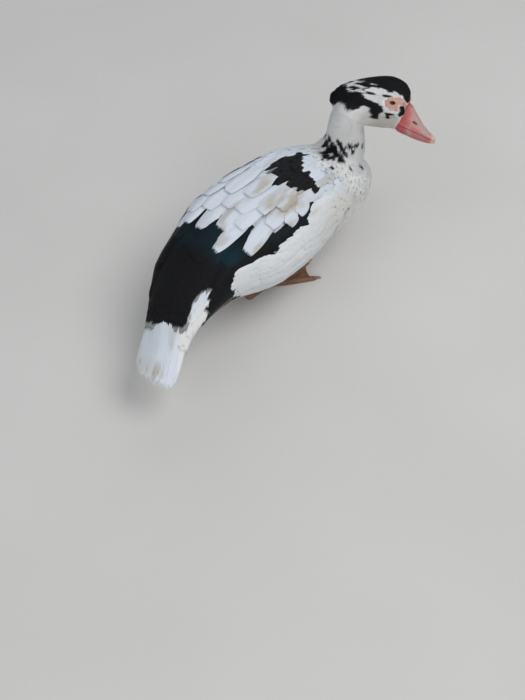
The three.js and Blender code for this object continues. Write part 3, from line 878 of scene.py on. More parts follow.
class Coat:
    """Feathers gathered into one mesh. Their sizes and heights over the ground are in millimetres."""

    def __init__(self, name, ground, material, large=False):
        self.name = name
        self.ground = ground
        self.material = material
        self.large = large  # whether each feather has a cell of its own on the map
        self.kept = {key: [] for key in ("points", "faces", "of_back", "normals", "marks", "tone", "vane")}
        self.roots = []
        self.count = 0

    def march(self, vane, roots, ways, length, width, low, high, lean, **shape):
        """Lays feathers along the ground from their roots, each leaning towards the lie of the coat."""
        at, way, before = roots, ways, 0
        centres, facings = [], []
        for t in vane.levels:
            at = at + way * (length * MM * (t - before))[:, None]
            before = t
            at, facing = self.ground.nearest(at)
            way = way + lie_of(on_bird(at))[1] * lean
            way = unit(way - facing * (way * facing).sum(axis=1, keepdims=True))
            centres.append(at)
            facings.append(facing)
        self.lay(vane, np.array(centres), np.array(facings), width, low, high, **shape)

    def between(self, vane, starts, ends, width, low, high, bend=0, **shape):
        """Lays feathers from start to end, both given as a place along the body and a turn round it."""
        t = vane.levels[:, None, None]
        spots = starts + (ends - starts) * t
        spots[..., 1] += bend * 4 * (t * (1 - t))[..., 0]
        centres, facings = self.ground.round_at(spots.reshape(-1, 2))
        size = (len(vane.levels), len(starts), 3)
        self.lay(vane, centres.reshape(size), facings.reshape(size), width, low, high, **shape)

    def lay(self, vane, centres, facings, width, low, high, **shape):
        """Builds feathers round their middle lines.

        shape may hold outline, the values of half_width; camber, the drop of the edges; droop, the drop
        of the tip; thick; drape, whether the edges follow the ground; bow, how round the front is lit;
        fray, how uneven the tip is; whole, how far a feather has the colour of its outer part; soft, how
        soft the edges of its markings are; tone, how far painted shade darkens it; and marks, a function of
        the places, u and t for its markings.
        """
        shape = FEATHER | shape
        count = centres.shape[1]
        headings = unit(np.gradient(centres, axis=0))
        sideways = unit(np.cross(headings, facings))
        spread = half_width(vane.levels, *shape["outline"])
        width, low, high = (np.broadcast_to(value, count) for value in (width, low, high))
        points = np.empty((count, len(vane.u), 3))
        normals = np.empty_like(points)
        for j, (level, u, behind) in enumerate(vane.spots):
            t = vane.levels[level]
            side, facing = sideways[level], facings[level]
            base = centres[level] + side * (u * spread[level] * width * MM / 2)[:, None]
            if shape["drape"] and u:
                base, facing = self.ground.nearest(base)
            height = low + (high - low) * (1 - (1 - t) ** RISES) - shape["droop"] * t**DROPS
            height = height - shape["camber"] * (u * spread[level]) ** 2
            if behind is not None:
                height = height - shape["thick"] * (1 - THINS * t)
            points[:, j] = base + facing * (height * MM)[:, None]
            tilt = side * u * shape["bow"] + headings[level] * t**4 * 0.25
            normals[:, j] = unit(facing + tilt)
        self.fray(vane, points, shape["fray"])
        self.keep(vane, points, normals, centres[0], shape)

    def fray(self, vane, points, amount):
        """Draws each barb back by its own share, and spreads their ends unevenly."""
        count = len(points)
        for tip in vane.tips:
            near = vane.last[np.argsort(np.abs(vane.u[vane.last] - vane.u[tip]))[:2]]
            base = points[:, near].mean(axis=1)
            across = points[:, near[0]] - points[:, near[1]]
            share = RNG.uniform(1 - amount, 1.15, (count, 1))
            aside = RNG.normal(0, 0.45 * amount, (count, 1))
            points[:, tip] = base + (points[:, tip] - base) * share + across * aside

    def keep(self, vane, points, normals, roots, shape):
        count, size = points.shape[:2]
        outer = np.argmin(np.abs(vane.t - MARKED_AT) + np.abs(vane.u))
        places = on_bird(points.reshape(-1, 3))
        if shape["marks"]:
            marks = shape["marks"](places, np.tile(vane.u, count), np.tile(vane.t, count))
        else:
            marks = markings(places)[:, :3]
        marks = marks.reshape(count, size, 3)
        marks = marks * (1 - shape["whole"]) + marks[:, outer : outer + 1] * shape["whole"]
        marks[..., 0] = ramp(marks[..., 0], 0.5 - shape["soft"], 0.5 + shape["soft"])
        # Each feather darker by a random share, plus its shape's tone of painted mottled shade
        tone = RNG.uniform(0, 0.10, count) + shape["tone"]
        starts = (np.arange(count) * size + self.count)[:, None, None]
        turned = np.where(vane.of_back, -1, 1)[:, None, None]
        self.kept["points"].append(points.reshape(-1, 3))
        self.kept["faces"].append((vane.faces + starts).reshape(-1, 3))
        self.kept["of_back"].append(np.tile(vane.of_back, count))
        self.kept["normals"].append((normals[:, vane.faces] * turned).reshape(-1, 3))
        self.kept["marks"].append(marks.reshape(-1, 3))
        self.kept["tone"].append(np.repeat(tone, size))
        self.kept["vane"].append(np.tile(np.stack([vane.u / 2 + 0.5, vane.t], axis=1), (count, 1)))
        self.roots.append(roots)
        self.count += count * size

    def finish(self):
        kept = {key: np.concatenate(parts) for key, parts in self.kept.items()}
        piece = make_piece(self.name, kept["points"], kept["faces"], self.material)
        self.light(piece.data, kept["normals"], kept["of_back"])
        store(piece, "marks", np.hstack([kept["marks"], np.ones((self.count, 1))]), "FLOAT_COLOR")
        store(piece, "tone", kept["tone"])
        store_map(piece, "OFBake", self.bake_places(kept["vane"]))
        store_map(piece, "vane", kept["vane"])
        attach(piece, "root")

    @staticmethod
    def light(mesh, normals, of_back):
        """Lights the fronts as the body's own surface, with a sharp edge between the front and the back."""
        edges = flat_list(mesh.loops, "edge_index", 1, np.int32)
        of_back = np.repeat(of_back, 3)
        behind = np.bincount(edges, of_back, len(mesh.edges))
        ahead = np.bincount(edges, ~of_back, len(mesh.edges))
        sharp = mesh.attributes.new("sharp_edge", "BOOLEAN", "EDGE")
        sharp.data.foreach_set("value", (behind > 0) & (ahead > 0))
        lit = mesh.attributes.new("custom_normal", "FLOAT_VECTOR", "CORNER")
        lit.data.foreach_set("vector", normals.astype(np.float32).ravel())

    def bake_places(self, vanes):
        """Each feather's patch on the map. A small feather's is at its root's place on the unrolled skin."""
        roots = np.vstack(self.roots)
        groups = [len(group) for group in self.roots]
        sizes = [len(points) // count for points, count in zip(self.kept["vane"], groups)]
        if self.large:
            across = math.ceil(math.sqrt(len(roots)))
            index = np.arange(len(roots))
            corners = (np.stack([index % across, index // across], axis=1) + (1 - CELL) / 2) / across
            patch = CELL / across
        else:
            flat = unrolled(on_bird(roots))
            low, high = flat.min(axis=0), flat.max(axis=0)
            corners = 0.005 + 0.985 * (flat - low) / (high - low)
            patch = PATCH
        return np.repeat(corners, np.repeat(sizes, groups), axis=0) + vanes * patch


def unrolled(places):
    """The skin laid flat: how far round the coat's line each place is, and how far along it."""
    along, _ = lie_of(places)
    middle = read_off(along, LIE_AT, LIE_FINE)
    way = unit(read_off(along, LIE_AT, LIE_WAYS))
    right = unit(np.cross(way, [0.3, 0, 1]))
    over = np.cross(right, way)
    out = places - middle
    round_it = np.arctan2((out * right).sum(axis=1), (out * over).sum(axis=1))
    return np.stack([round_it / (2 * math.pi) + 0.5, along / LIE_LENGTH], axis=1)


TRIES = 5  # for each place that there is room for


def scatter(piece, spacing_of, wanted=None):
    """Evenly spread places on a piece, with the way it faces at each."""
    mesh = piece.data
    mesh.calc_loop_triangles()
    corners = flat_list(mesh.loop_triangles, "vertices", 3, np.int32)
    points, normals = points_of(piece), normals_of(piece)
    triangles = points[corners]
    middles = on_bird(triangles.mean(axis=1))
    spacing = np.broadcast_to(spacing_of(middles), len(corners))
    first, second = (triangles[:, i] - triangles[:, 0] for i in (1, 2))
    area = np.linalg.norm(np.cross(first, second), axis=1) / 2
    density = area / (spacing * MM) ** 2
    if wanted:
        density = density * wanted(middles)
    tries = int(density.sum() * TRIES)
    chosen = RNG.choice(len(corners), tries, p=density / density.sum())
    out = np.sqrt(RNG.random((tries, 1)))
    over = RNG.random((tries, 1))
    parts = np.hstack([1 - out, out * (1 - over), out * over])[..., None]
    places = (triangles[chosen] * parts).sum(axis=1)
    facings = unit((normals[corners[chosen]] * parts).sum(axis=1))
    tree = tree_of(places)
    free = np.ones(tries, bool)
    kept = []
    for i in range(tries):
        if free[i]:
            kept.append(i)
            near = tree.find_range(places[i], spacing[chosen[i]] * MM)
            free[[index for _, index, _ in near]] = False
    return places[kept], facings[kept]


def tree_of(places):
    tree = KDTree(len(places))
    for i, place in enumerate(places):
        tree.insert(place, i)
    tree.balance()
    return tree


# Along the coat's line: the spacing, length and width of the small feathers
SIZES = keyed([
    (0, 1.1, 3.4, 1.3), (25, 1.15, 4.4, 1.35), (50, 1.3, 7, 1.5), (80, 1.55, 10, 1.9), (110, 2.0, 12, 2.8),
    (140, 2.6, 13, 4.0), (170, 3.6, 16, 6.2), (200, 4.8, 20, 8.6), (250, 5.8, 25, 10.5), (340, 6.3, 29, 11.5),
    (430, 6.0, 34, 11), (500, 5.0, 34, 9.5), (560, 5, 26, 8.5),
])
# Where the wing's large feathers cover the coat
UNDER_WING = [
    (20, 30), (36, 62), (30, 104), (-108, 106), (-165, 104), (-165, 60), (-118, 40), (-118, -40),
    (-165, -60), (-165, -104), (-108, -106), (30, -104), (36, -62), (20, -30), (-20, 0),
]


def spacing_at(places):
    return SIZES(lie_of(places)[0])[0]


def under_wing(places):
    return ramp(depth_round(UNDER_WING, places, round_body(places)), -4, 8)


# The coat's pieces, with where each starts and ends along the coat's line
BANDS = [
    ("coat_face", 0, 50, TUFT), ("coat_crown", 50, HEAD_END, NARROW_VANE),
    ("coat_neck", HEAD_END, NECK_END, NARROW_VANE), ("coat_breast", NECK_END, 262, SOFT_VANE),
    ("coat_sides", 262, 370, SOFT_VANE), ("coat_rear", 370, 600, SOFT_VANE),
]
OVER_FLOOR = 6  # no feathers grow lower than this
NAPE_RAISED = 2.2  # the most that a feather of the nape stands up


def lay_band(skin, ground, material, name, start, end, vane):
    """One band of the coat of small feathers."""
    on_head = end <= HEAD_END
    on_body = end > NECK_END

    def wanted(places):
        along, _ = lie_of(places)
        under_tail = 100 * ramp(places[:, 0], -118, -150)  # the coverts take over there
        inside = (along >= start) & (along < end) & (places[:, 2] > OVER_FLOOR)
        inside = inside & (np.abs(round_body(places)) > under_tail)
        return inside & (markings(places)[:, 3] < 0.5) if on_head else inside

    roots, facings = scatter(skin, spacing_at, wanted)
    places = on_bird(roots)
    along, ways = lie_of(places)
    _, length, width = SIZES(along)
    count = len(roots)
    turned = RNG.normal(0, 0.07, (count, 1)) * np.cross(facings, ways)
    high = COAT_DEPTH(along)[0] * (1 - 0.55 * under_wing(places)) * RNG.normal(1, 0.04, count)
    high = high * (1 - 0.4 * ramp(along, NECK_END, 240))
    nape = bell(along, 78, 14) * ramp(in_head(places)[:, 2], -14, 4)
    high = high + nape * RNG.uniform(0, NAPE_RAISED, count)
    coat = Coat(name, ground, material)
    coat.march(
        vane, roots, unit(ways + turned), length * RNG.normal(1, 0.1, count),
        width * RNG.normal(1, 0.08, count), low=-0.3, high=high, lean=0.2,
        camber=np.maximum(width * 0.06, high * 0.5), droop=np.minimum(high * 0.32, 0.7),
        thick=0.1 if on_head else 0.15, drape=on_body, fray=0.6, whole=0.75 if on_body else 0.3,
        # The tone is painted shade in soft grey mottled patches
        soft=0.12 if on_body else 0.42, tone=0.3 * ramp(mottle(places, 10, 19), 0, 0.8),
    )
    coat.finish()


# Long feathers: where each starts and ends, as x and degrees round the body, and its width.
# Each group lies over the ones before it.
PRIMARIES = [
    (-66, 106, -158, 109, 13), (-70, 96, -160, 95, 13), (-68, 88, -158, 88, 13), (-66, 80, -153, 82, 14),
    (-64, 73, -147, 76, 15), (-62, 66, -139, 68, 16), (-60, 59, -130, 60, 18),
]
TERTIALS = [
    (-50, -8, -117, -10, 30), (-48, 24, -113, 26, 30), (-45, 44, -104, 46, 28), (-46, 9, -119, 8, 30),
]
LOW_COVERTS = [
    (-36, 70, -86, 67, 18), (-22, 71, -73, 71, 18), (-9, 69, -60, 68, 18), (4, 67, -46, 66, 18),
    (16, 64, -33, 64, 17), (22, 62, -20, 62, 17), (28, 60, -9, 59, 16),
]
HIGH_COVERTS = [
    (-28, 58, -84, 57, 20), (-14, 58, -68, 58, 20), (0, 56, -52, 58, 20), (14, 54, -36, 57, 19),
    (24, 52, -20, 54, 18), (30, 50, -6, 52, 16),
]
NEAR_SCAPULARS = [
    (-30, -40, -85, -46, 24), (-22, -18, -84, -18, 24), (-26, 15, -99, 19, 22), (-20, 31, -75, 50, 19),
    (-14, 2, -75, 5, 24), (-6, -30, -62, -32, 24), (-10, 16, -62, 19, 22), (4, 34, -40, 42, 18),
    (12, 36, -20, 50, 18), (0, -12, -50, -12, 22), (8, 6, -46, 4, 21), (14, 20, -33, 24, 19),
    (24, 40, -2, 50, 15), (22, 28, -16, 36, 17), (26, -26, -30, -26, 21), (24, -4, -26, -2, 20),
]
FAR_SCAPULARS = [
    (-32, 40, -88, 55, 23), (-22, 56, -60, 66, 20), (-6, 52, -44, 62, 19), (-20, 44, -70, 50, 22),
    (10, 50, -26, 58, 18), (4, 40, -46, 46, 21), (22, 40, -20, 46, 18),
]


MISPLACED = (1.5, 1, 1.8, 1, 0.5)  # how unevenly a group's feathers lie, for each value of their rows
GROUP_RISE = 1.4  # the last feather of a group lies this much higher than its first


def lay_group(coat, rows, side, low, high, **shape):
    """Lays a row of long feathers, each a little above the one before it."""
    table = np.array(rows, float)
    table[:, [1, 3]] *= side
    table += RNG.normal(0, 1, table.shape) * MISPLACED
    lift = np.linspace(0, GROUP_RISE, len(table))
    coat.between(LONG_VANE, table[:, :2], table[:, 2:4], table[:, 4], low + lift, high + lift, **shape)


def dark_marks(brown, tan_edge=0):
    """The markings of black feathers, less glossy where they are brown, with one edge tan."""

    def marks(places, u, t):
        gloss = (1 - brown) * (0.35 + 0.5 * mottle(places, 26, 12))
        tan = ramp(u * tan_edge, 0.55, 0.8)
        found = np.stack([1 - tan, gloss * (1 - tan), 0.05 + 0.9 * tan], axis=1)
        return np.clip(found, 0, 1)

    return marks


def white_marks(sky_shade, worn=0):
    """The markings of white feathers, with painted blue sky-light shade by the first value, and streaks of
    dirt on their tips where they are worn.
    """

    def marks(places, u, t):
        found = markings(places)[:, :3]
        streaks = ramp(mottle(places * [0.25, 1, 1], 1.6, 14) + 3.2 * (t - 1.02), 0.0, 0.3)
        soil_and_shade = np.clip(found[:, 2] + streaks * worn, 0, 1)
        return np.stack([np.zeros(len(places)), np.full(len(places), sky_shade), soil_and_shade], axis=1)

    return marks


def lay_wings(ground, material):
    for side, right in SIDES.items():
        turned = -right
        quills = Coat(f"quills_{side}", ground, material, large=True)
        shape = {"outline": (0.5, 0.4, 0.35), "camber": 0.8, "fray": 0.25, "whole": 0, "drape": True}
        for rows, low, high, marks in (
            (PRIMARIES[:1], 1.4, 2.2, dark_marks(1, -right)), (PRIMARIES[1:], 1.4, 2.4, dark_marks(0.9)),
            (LOW_COVERTS, -0.2, 2.2, dark_marks(0.1)), (TERTIALS, 0.6, 2.6, dark_marks(0.2)),
            (HIGH_COVERTS, -0.2, 2.6, dark_marks(0)),
        ):
            lay_group(quills, rows, turned, low, high, marks=marks, **shape)
        quills.finish()
    scapulars = Coat("scapulars", ground, material, large=True)
    shape = {"outline": (0.55, 0.45, 0.55), "camber": 0.6, "droop": 0.1, "fray": 0.45, "whole": 0,
             "drape": True, "marks": white_marks(0.8), "bow": 0.35}
    for rows, turned in ((FAR_SCAPULARS, -1), (NEAR_SCAPULARS, 1)):
        lay_group(scapulars, rows, turned, 0.6, 3.5, **shape)
    scapulars.finish()


# The turn of the flank's upper edge, by x
FLANK_EDGE = keyed([
    (-104, 68), (-96, 63), (-88, 61), (-79, 65), (-70, 71), (-58, 69), (-46, 67), (-34, 65), (-20, 64),
    (-8, 62), (4, 58), (14, 54), (30, 50),
])
# The x where the flank ends, by the turn round the body
FLANK_END = keyed([(60, -88), (64, -100), (69, -107), (76, -110), (86, -109), (96, -105), (108, -96)])
FLANK_LOW = 108  # the turn of the flank's lower edge
FLANK_ROWS = (1, 0.84, 0.67, 0.5, 0.34, 0.17, 0)  # from the lower edge to the upper one
FLANK_LENGTH = 40
WISPS = 60


def lay_flanks(ground, material):
    """The soft feathers of the flank, which lie up over the lower edge of the wing."""
    flanks = Coat("flank_feathers", ground, material, large=True)
    rows = []
    for share in FLANK_ROWS:
        for x in np.arange(-92, 26, 8.5):
            top = FLANK_EDGE(x)[0] + 3
            turn = top + (FLANK_LOW - top) * share + RNG.normal(0, 1.5)
            rows.append((x + FLANK_LENGTH, turn + 4, x + RNG.normal(0, 2), turn, 14 + 3 * share))
    ends = []
    for turn in np.arange(106, 62, -3.5):
        x = FLANK_END(turn)[0] + 2
        ends.append((x + FLANK_LENGTH, 78 + 0.6 * (turn - 78), x, turn, 10))
    wisps = []
    for x in RNG.uniform(-78, 24, WISPS):
        edge = FLANK_EDGE(x)[0]
        wisps.append((x + 30, edge + 9, x, edge - RNG.uniform(-1, 5), RNG.uniform(4, 8)))
    for right in SIDES.values():
        shape = {"outline": (0.4, 0.5, 0.4), "camber": 0.6, "whole": 0, "drape": True, "bow": 0.3,
                 "marks": white_marks(0.25), "bend": 3 * right}
        lay_group(flanks, rows, -right, -0.2, 2.3, fray=0.9, **shape)
        lay_group(flanks, ends, -right, 0.8, 2.6, fray=0.2, **shape)
        lay_group(flanks, wisps, -right, 0.8, 2.4, fray=0.95, **shape)
    flanks.finish()


# The tail's half width and rise over its middle line, by x
TAIL = keyed([
    (-100, 51, 44), (-126, 47, 34), (-150, 40, 24), (-173, 35, 15), (-200, 31, 8), (-228, 27, 4.5),
    (-248, 21, 2.8),
])
TAIL_FEATHERS = 16
TAIL_ROOT = 140  # how far behind the origin the tail feathers start
TAIL_TIP = 247
COVERT_ENDS = np.arange(-198, -118, 6.2)
COVERT_LENGTH = 48


def on_tail(x, share, over):
    """A place on the tail, share of the way from its middle line to its left edge."""
    wide, rise = TAIL(x)
    out = np.stack([0 * x, share * wide, rise * np.sqrt(1 - share**2) + over], axis=-1)
    return in_scene(middle_at(x) + out)


def lay_tail(ground, material):
    """The sixteen tail feathers, the middle pair on top, and the coverts that lie over their roots."""
    tail = Coat("tail_feathers", ground, material, large=True)
    t = LONG_VANE.levels
    outermost = (TAIL_FEATHERS - 1) / 2
    for rank in sorted(np.arange(TAIL_FEATHERS) - outermost, key=abs, reverse=True):
        share = rank / outermost
        end = TAIL_TIP - 5 * share**2 - RNG.uniform(0, 3)
        x = -TAIL_ROOT - (end - TAIL_ROOT) * t
        sunk = 5 * ramp(t, 0.55, 0.1)
        centres = on_tail(x, share * (0.45 + 0.48 * t), -0.6 - 1.2 * abs(share) - sunk)[:, None]
        facings = np.broadcast_to(unit(np.array([0.12, 0.5 * share, 1])), centres.shape)
        tail.lay(
            LONG_VANE, centres, facings, 15.0, 0.0, 1.0 - abs(share) * 0.6, outline=(0.5, 0.4, 0.5),
            camber=1.0, fray=0.7, whole=0, marks=white_marks(0.75, worn=0.45), bow=0.3, droop=0.6,
        )
    tail.finish()
    coverts = Coat("tail_coverts", ground, material, large=True)
    for rank, end in enumerate(COVERT_ENDS):
        count = 15 + rank // 3
        shares = np.clip(np.linspace(-0.97, 0.97, count) + RNG.normal(0, 0.03, count), -0.98, 0.98)
        ends = end + RNG.normal(0, 2.5, count)
        x = ends + (COVERT_LENGTH - 4 * np.abs(shares)) * (1 - t[:, None])
        centres, facings = ground.nearest(on_tail(x, shares * (0.8 + 0.2 * t[:, None]), 0).reshape(-1, 3))
        size = (len(t), count, 3)
        coverts.lay(
            LONG_VANE, centres.reshape(size), facings.reshape(size), 9.0, -0.2, 1.4 + min(rank * 0.4, 1.7),
            outline=(0.4, 0.42, 0.22), camber=0.7, fray=0.95, bow=0.25, drape=True, whole=0.55, soft=0.3,
        )
    coverts.finish()


# Bill, eyes and lids

# Along the bill, in the head's frame: the height of the gape, and how far the culmen rises over it
BILL_EDGE = keyed([
    (9, -25, 30), (22, -27.5, 30), (29, -29.2, 23), (35, -30.7, 18), (44, -33, 10.8), (52, -35.3, 7),
    (60, -37.5, 4.6),
])
NOSTRIL = (31.0, -19.5)  # forward and up, on the bill's side
NOSTRIL_SIZE = (3.4, 1.5)
NOSTRIL_DEPTH = 1.5
NAIL = (51.5, 62, 5.2)  # from, to and half width of the nail at the bill's tip
COMB = 1.25  # from one comb of the upper bill's edge to the next
BILL_SINK = 1.5  # the root of the bill sinks this far into the face
GAPE_CLOSED = 0.75  # the lower mandible comes this far up to the upper one


def bill_places(points):
    """Each point's place along the bill, its height from the gape to the culmen as a share, and its side."""
    forward, left, up = in_head(on_bird(points)).T
    edge, rise = BILL_EDGE(forward)
    return forward, (up - edge) / rise, left, up


def push(piece, amounts):
    """Moves each point of a piece out along its normal, by millimetres."""
    move_points(piece, points_of(piece) + normals_of(piece) * amounts[:, None] * MM)


def bill_relief(points):
    """How far the upper bill stands out at each point, and how deep in a nostril the point lies, which sets
    the nostril's painted shade.
    """
    forward, height, left, up = bill_places(points)
    side = np.abs(left)
    ahead, above = forward - NOSTRIL[0], up - NOSTRIL[1]
    slope = 0.35 * ahead
    off = np.hypot((ahead - 0.3 * slope) / NOSTRIL_SIZE[0], (above + slope) / NOSTRIL_SIZE[1])
    nostril = 0.35 * bell(off, 1.35, 0.3) - NOSTRIL_DEPTH * ramp(off, 1.1, 0.35)
    start, end, half = NAIL
    edge = np.hypot((forward - end) / (end - start), left / half)
    nail = (0.45 * ramp(edge, 1.05, 0.8) - 0.3 * bell(edge, 1.12, 0.1)) * ramp(height, 0.25, 0.5)
    combs = 0.16 * np.sin(forward * 2 * math.pi / COMB) * ramp(height, 0.2, 0.08) * ramp(forward, 20, 26)
    lip = 0.35 * bell(height, 0.2, 0.08) * ramp(side, 5, 8) * ramp(forward, 18, 24)
    hollow = -0.9 * bell(height, 0.62, 0.16) * bell(forward, 27, 9)
    places = on_bird(points)
    rough = 0.12 * mottle(places, 2.2, 20) + 0.22 * mottle(places, 5.5, 21)
    knobs = 0.5 * ramp(mottle(places, 2.4, 22), 0.1, 0.6) * ramp(forward, 19, 13) * ramp(height, 0.35, 0.6)
    relief = nostril * (side > 2) + nail + combs + lip + hollow + rough + knobs
    return relief, ramp(off, 1.2, 0.6) * (side > 2)


def make_bill(material):
    for name, node in (("bill_top", "bill_upper"), ("bill_bottom", "bill_lower")):
        piece = smooth_copy(name, node, BILL_MADE, material)
        points = points_of(piece)
        relief, nostril_shade = bill_relief(points) if node == "bill_upper" else np.zeros((2, len(points)))
        push(piece, relief - BILL_SINK * ramp(bill_places(points)[0], 14, 9))
        if node == "bill_lower":
            faces_up = ramp(normals_of(piece) @ HEAD_UP, 0.2, 0.8)[:, None]
            move_points(piece, points_of(piece) + faces_up * HEAD_UP * GAPE_CLOSED * MM)
        forward, height, left, _ = bill_places(points_of(piece))
        store(piece, "place", np.stack([forward, height, left], axis=1), "FLOAT_VECTOR")
        store(piece, "nostril_shade", nostril_shade)
        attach(piece, "root")
        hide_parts(node)


# The opening between the lids, as half lengths along and across it, and the lids' outer edge
EYE_OPEN = np.array([3.0, 2.1])
LIDS_OUT = np.array([7.8, 6.0])
LID_THICK = 0.9
# From the opening outwards: the share of the way, and the height over the eyeball or the skin
LID_ROWS = [
    (0.0, -0.25), (0.02, 0.15), (0.07, 0.5), (0.15, 0.62), (0.24, 0.42), (0.31, 0.2), (0.38, 0.42),
    (0.47, 0.5), (0.55, 0.24), (0.63, 0.36), (0.73, 0.3), (0.84, 0.14), (0.93, 0.0), (1.0, -0.5),
]
AROUND_EYE = 72  # points in each row


def gaze_axes(right):
    """The way the eye looks out, and the ways forward and up across it. right is -1 for the right eye."""
    aside, ahead, above = EYE_LOOKS
    out = unit(HEAD_LEFT * aside * right + HEAD_FORWARD * ahead + HEAD_UP * above)
    forward = unit(HEAD_FORWARD - out * (HEAD_FORWARD @ out))
    up = unit(HEAD_UP - out * (HEAD_UP @ out))
    return out, forward, up


EYE_INSIDE = 0.985  # the eyeball's size without its cornea, as a share of the solid's
CORNEA = 0.018  # how far the cornea bulges, as a share of the radius


def make_eyeball(side, right, material):
    out, _, _ = gaze_axes(right)
    bpy.ops.object.select_all(action="DESELECT")
    bpy.ops.mesh.primitive_ico_sphere_add(subdivisions=5, radius=EYE_RADIUS * EYE_INSIDE * MM)
    ball = bpy.context.object
    ball.name = ball.data.name = f"eyeball_{side}"
    points = points_of(ball)
    off = np.arccos(np.clip(unit(points) @ out, -1, 1)) * EYE_RADIUS
    bulge = 1 + CORNEA * ramp(off, 4.6, 2.8)
    move_points(ball, points * bulge[:, None] + eye_middle(side))
    bpy.ops.object.shade_smooth()
    store(ball, "off", off)
    ball.data.materials.append(material)
    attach(ball, "root")
    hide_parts(f"eye_{side}")


def lid_row(side, right, ground, share, lift):
    """One ring of the lids' points, from over the eyeball at the opening to the skin round the eye."""
    out, forward, up = gaze_axes(right)
    around = np.arange(AROUND_EYE) * 2 * math.pi / AROUND_EYE
    along, across = EYE_OPEN + (LIDS_OUT - EYE_OPEN) * share
    corner = 1 + 0.12 * bell(share, 0, 0.3) * np.abs(np.cos(around)) ** 6
    ahead = np.cos(around) * along * corner
    above = np.sin(around) * across * np.where(np.sin(around) > 0, 0.9, 1.05)
    flat = eye_middle(side) + (forward * ahead[:, None] + up * above[:, None]) * MM
    on_ball = np.sqrt(np.maximum(EYE_RADIUS**2 - ahead**2 - above**2, 0))
    hits = [ground.tree.ray_cast(Vector(start), Vector(-out))[0] for start in flat + out * 0.02]
    on_skin = (np.array(hits) - flat) @ out / MM
    joined = np.log(np.exp(on_ball * 3) + np.exp(on_skin * 3)) / 3
    toward_skin = ramp(share, 0.5, 0.95)
    fold = 0.12 * np.sin(around * 9 + share * 14) * ramp(share, 0.3, 0.6) * (1 - share)
    height = joined * (1 - toward_skin) + on_skin * toward_skin + lift + fold
    return flat + out * (height * MM)[:, None]


def make_lids(side, right, ground, material):
    """Both lids as one ring of folds, closed behind."""
    out, _, _ = gaze_axes(right)
    rows = [lid_row(side, right, ground, share, lift) for share, lift in LID_ROWS]
    rows = np.array(rows + [row - out * LID_THICK * MM for row in rows[::-1]])
    points = rows.reshape(-1, 3)
    index = np.arange(len(points)).reshape(rows.shape[:2])
    beside, outer = np.roll(index, -1, axis=1), np.roll(index, -1, axis=0)
    faces = np.stack([index, outer, np.roll(outer, -1, axis=1), beside], axis=-1).reshape(-1, 4)
    lids = make_piece(f"lids_{side}", points, faces[:, ::right], material)
    store_marks(lids, on_bird(points))
    lids.data.attributes["bare"].data.foreach_set("value", np.ones(len(points), np.float32))
    shares = [share for share, _ in LID_ROWS]
    rim = np.repeat(shares + shares[::-1], AROUND_EYE)
    store(lids, "rim", ramp(rim, 0.22, 0.05))
    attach(lids, "root")


# Legs and feet


TOES = ("inner", "middle", "outer")
TOE_WIDTH = (4.2, 3.0)  # where a toe's scutes end and where they are full, from its middle line
SCUTE = 2.3  # from one scute of a toe to the next
SHANK_SCALE = 2.0
SHANK_RELIEF = 0.35


GROOVE_WIDTH = 0.28  # as a share of the spacing
GROOVE_LEVEL = 0.35  # the share of the depth that stays over the surface


def groove(piece, spacing, depth):
    """Parts a surface into small scales, and keeps how deep in a groove each point lies, for the painted
    shade there.
    """
    middles, _ = scatter(piece, lambda places: np.full(len(places), spacing))
    tree = tree_of(middles)
    near = [tree.find_n(Vector(point), 2) for point in points_of(piece)]
    gap = np.array([found[1][2] - found[0][2] for found in near]) / MM
    deep = bell(gap, 0, spacing * GROOVE_WIDTH)
    push(piece, depth * (GROOVE_LEVEL - deep))
    store(piece, "groove", deep)


def make_shank(side, material):
    shank = smooth_copy(f"shin_{side}", f"shank_{side}", SHANK_MADE, material)
    groove(shank, SHANK_SCALE, SHANK_RELIEF)
    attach(shank, "root")
    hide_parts(f"shank_{side}")


def along_toes(side, out, hub):
    """How far each place of a foot lies from the nearest toe's middle line, and how far along that toe."""
    off_toe = np.full(len(out), 99.0)
    along_toe = np.zeros(len(out))
    for toe in TOES:
        way = unit(on_bird(np.array(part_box(f"claw_{side}_{toe}")).mean(axis=0))[:2] - hub)
        along = out @ way
        aside = np.abs(out[:, 0] * way[1] - out[:, 1] * way[0])
        nearer = (aside < off_toe) & (along > 0)
        off_toe = np.where(nearer, aside, off_toe)
        along_toe = np.where(nearer, along, along_toe)
    return off_toe, along_toe


def make_foot(side, material):
    """A webbed foot, with scutes along its toes and fine wrinkles over its web."""
    foot = smooth_copy(f"web_foot_{side}", f"foot_{side}", FOOT_MADE, material, share=0.45)
    places = on_bird(points_of(foot))
    shank = on_bird(np.array(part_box(f"shank_{side}")))
    hub = np.array([shank[:, 0].max() - 5, shank[:, 1].mean()])
    out = places[:, :2] - hub
    off_toe, along_toe = along_toes(side, out, hub)
    upper = ramp(normals_of(foot)[:, 2], 0.1, 0.5)
    on_toe = ramp(off_toe, *TOE_WIDTH)
    web = (1 - on_toe) * upper
    phase = along_toe / SCUTE
    between = bell(np.abs(phase - np.round(phase)) * 2, 1, 0.3)
    spread = np.arctan2(out[:, 1], out[:, 0])
    far = np.linalg.norm(out, axis=1)
    wrinkle = np.sin(far * 2.4 + 2.2 * mottle(places, 6, 30)) * 0.5 + 0.5
    folds = np.sin(spread * 46 + mottle(places, 9, 31)) * ramp(far, 12, 30)
    deep = np.clip(between * on_toe + web * (wrinkle * 0.35), 0, 1)
    push(foot, 0.25 * (0.4 - deep) * upper + 0.13 * folds * web)
    store(foot, "groove", deep)
    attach(foot, "root")
    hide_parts(f"foot_{side}")


def make_claw(side, toe, material):
    node = f"claw_{side}_{toe}"
    claw = smooth_copy(f"nail_{side}_{toe}", node, CLAW_MADE, material, share=0.4)
    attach(claw, "root")
    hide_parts(node)


# Studio


FLOOR_SIZE = 40
LAMP_AIM = (0, 0, 0.1)
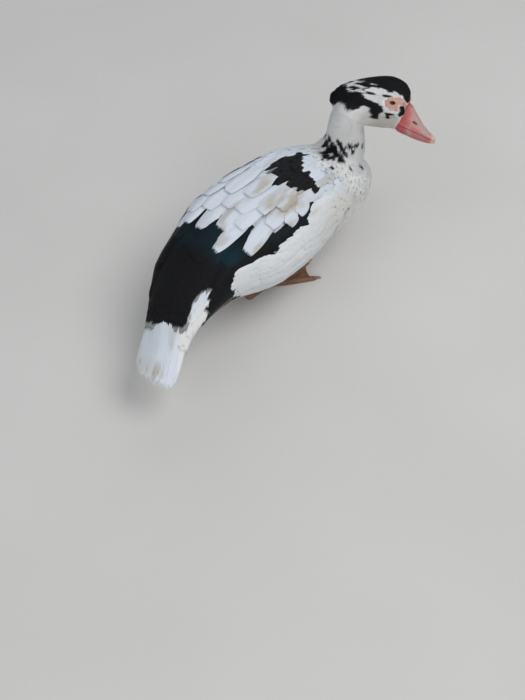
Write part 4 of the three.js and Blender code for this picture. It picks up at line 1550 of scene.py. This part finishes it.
# Each lamp's name, place in metres, size and power
LAMPS = [
    ("key", (0.7, -1.2, 2.4), 1.8, 36), ("fill", (-2.2, 0.6, 1.8), 2.2, 15),
    ("front", (1.8, 1.6, 1.4), 1.6, 10), ("near", (-1.5, -1.5, 0.9), 1.4, 11),
]
SKY = (0.80, 0.86, 0.94, 1)
SKY_STRENGTH = 0.36


def make_studio():
    bpy.ops.mesh.primitive_plane_add(size=FLOOR_SIZE, location=(0, 0, 0))
    floor = bpy.context.object
    floor.name = "floor"
    floor.data.materials.append(plain_floor())
    for name, place, size, watts in LAMPS:
        data = bpy.data.lights.new(name, "AREA")
        data.energy = watts
        data.size = size
        lamp = bpy.data.objects.new(name, data)
        lamp.location = place
        lamp.rotation_euler = (Vector(LAMP_AIM) - Vector(place)).to_track_quat("-Z", "Y").to_euler()
        bpy.context.collection.objects.link(lamp)
    world = bpy.data.worlds.new("studio")
    world.use_nodes = True
    background = world.node_tree.nodes["Background"]
    background.inputs["Color"].default_value = SKY
    background.inputs["Strength"].default_value = SKY_STRENGTH
    bpy.context.scene.world = world
    bpy.context.scene.view_settings.view_transform = "Standard"


CAMERA_PLACE = (-780.1, -609.5, 1084.9)
CAMERA_TURN = (38.692, 0, -51.689)  # degrees
LENS = 60.0  # for 36 mm along the picture's long side


def make_camera():
    data = bpy.data.cameras.new("camera")
    data.lens = LENS
    camera = bpy.data.objects.new("camera", data)
    camera.location = in_scene(CAMERA_PLACE)
    camera.rotation_euler = [math.radians(angle) for angle in CAMERA_TURN]
    bpy.context.collection.objects.link(camera)
    bpy.context.scene.camera = camera


make_camera()
make_studio()
feather_finish = plumage()
skin = make_skin(bare_and_down())
ground = Ground(skin)
for band in BANDS:
    lay_band(skin, ground, feather_finish, *band)
lay_wings(ground, feather_finish)
lay_flanks(ground, feather_finish)
lay_tail(ground, feather_finish)
make_bill(bill_horn())
eye_finish = eye_wet()
lid_finish = lid_skin()
leg_finish = leg_skin()
claw_finish = claw_horn()
for side, right in SIDES.items():
    make_eyeball(side, right, eye_finish)
    make_lids(side, right, ground, lid_finish)
    make_shank(side, leg_finish)
    make_foot(side, leg_finish)
    for toe in (*TOES, "hind"):
        make_claw(side, toe, claw_finish)
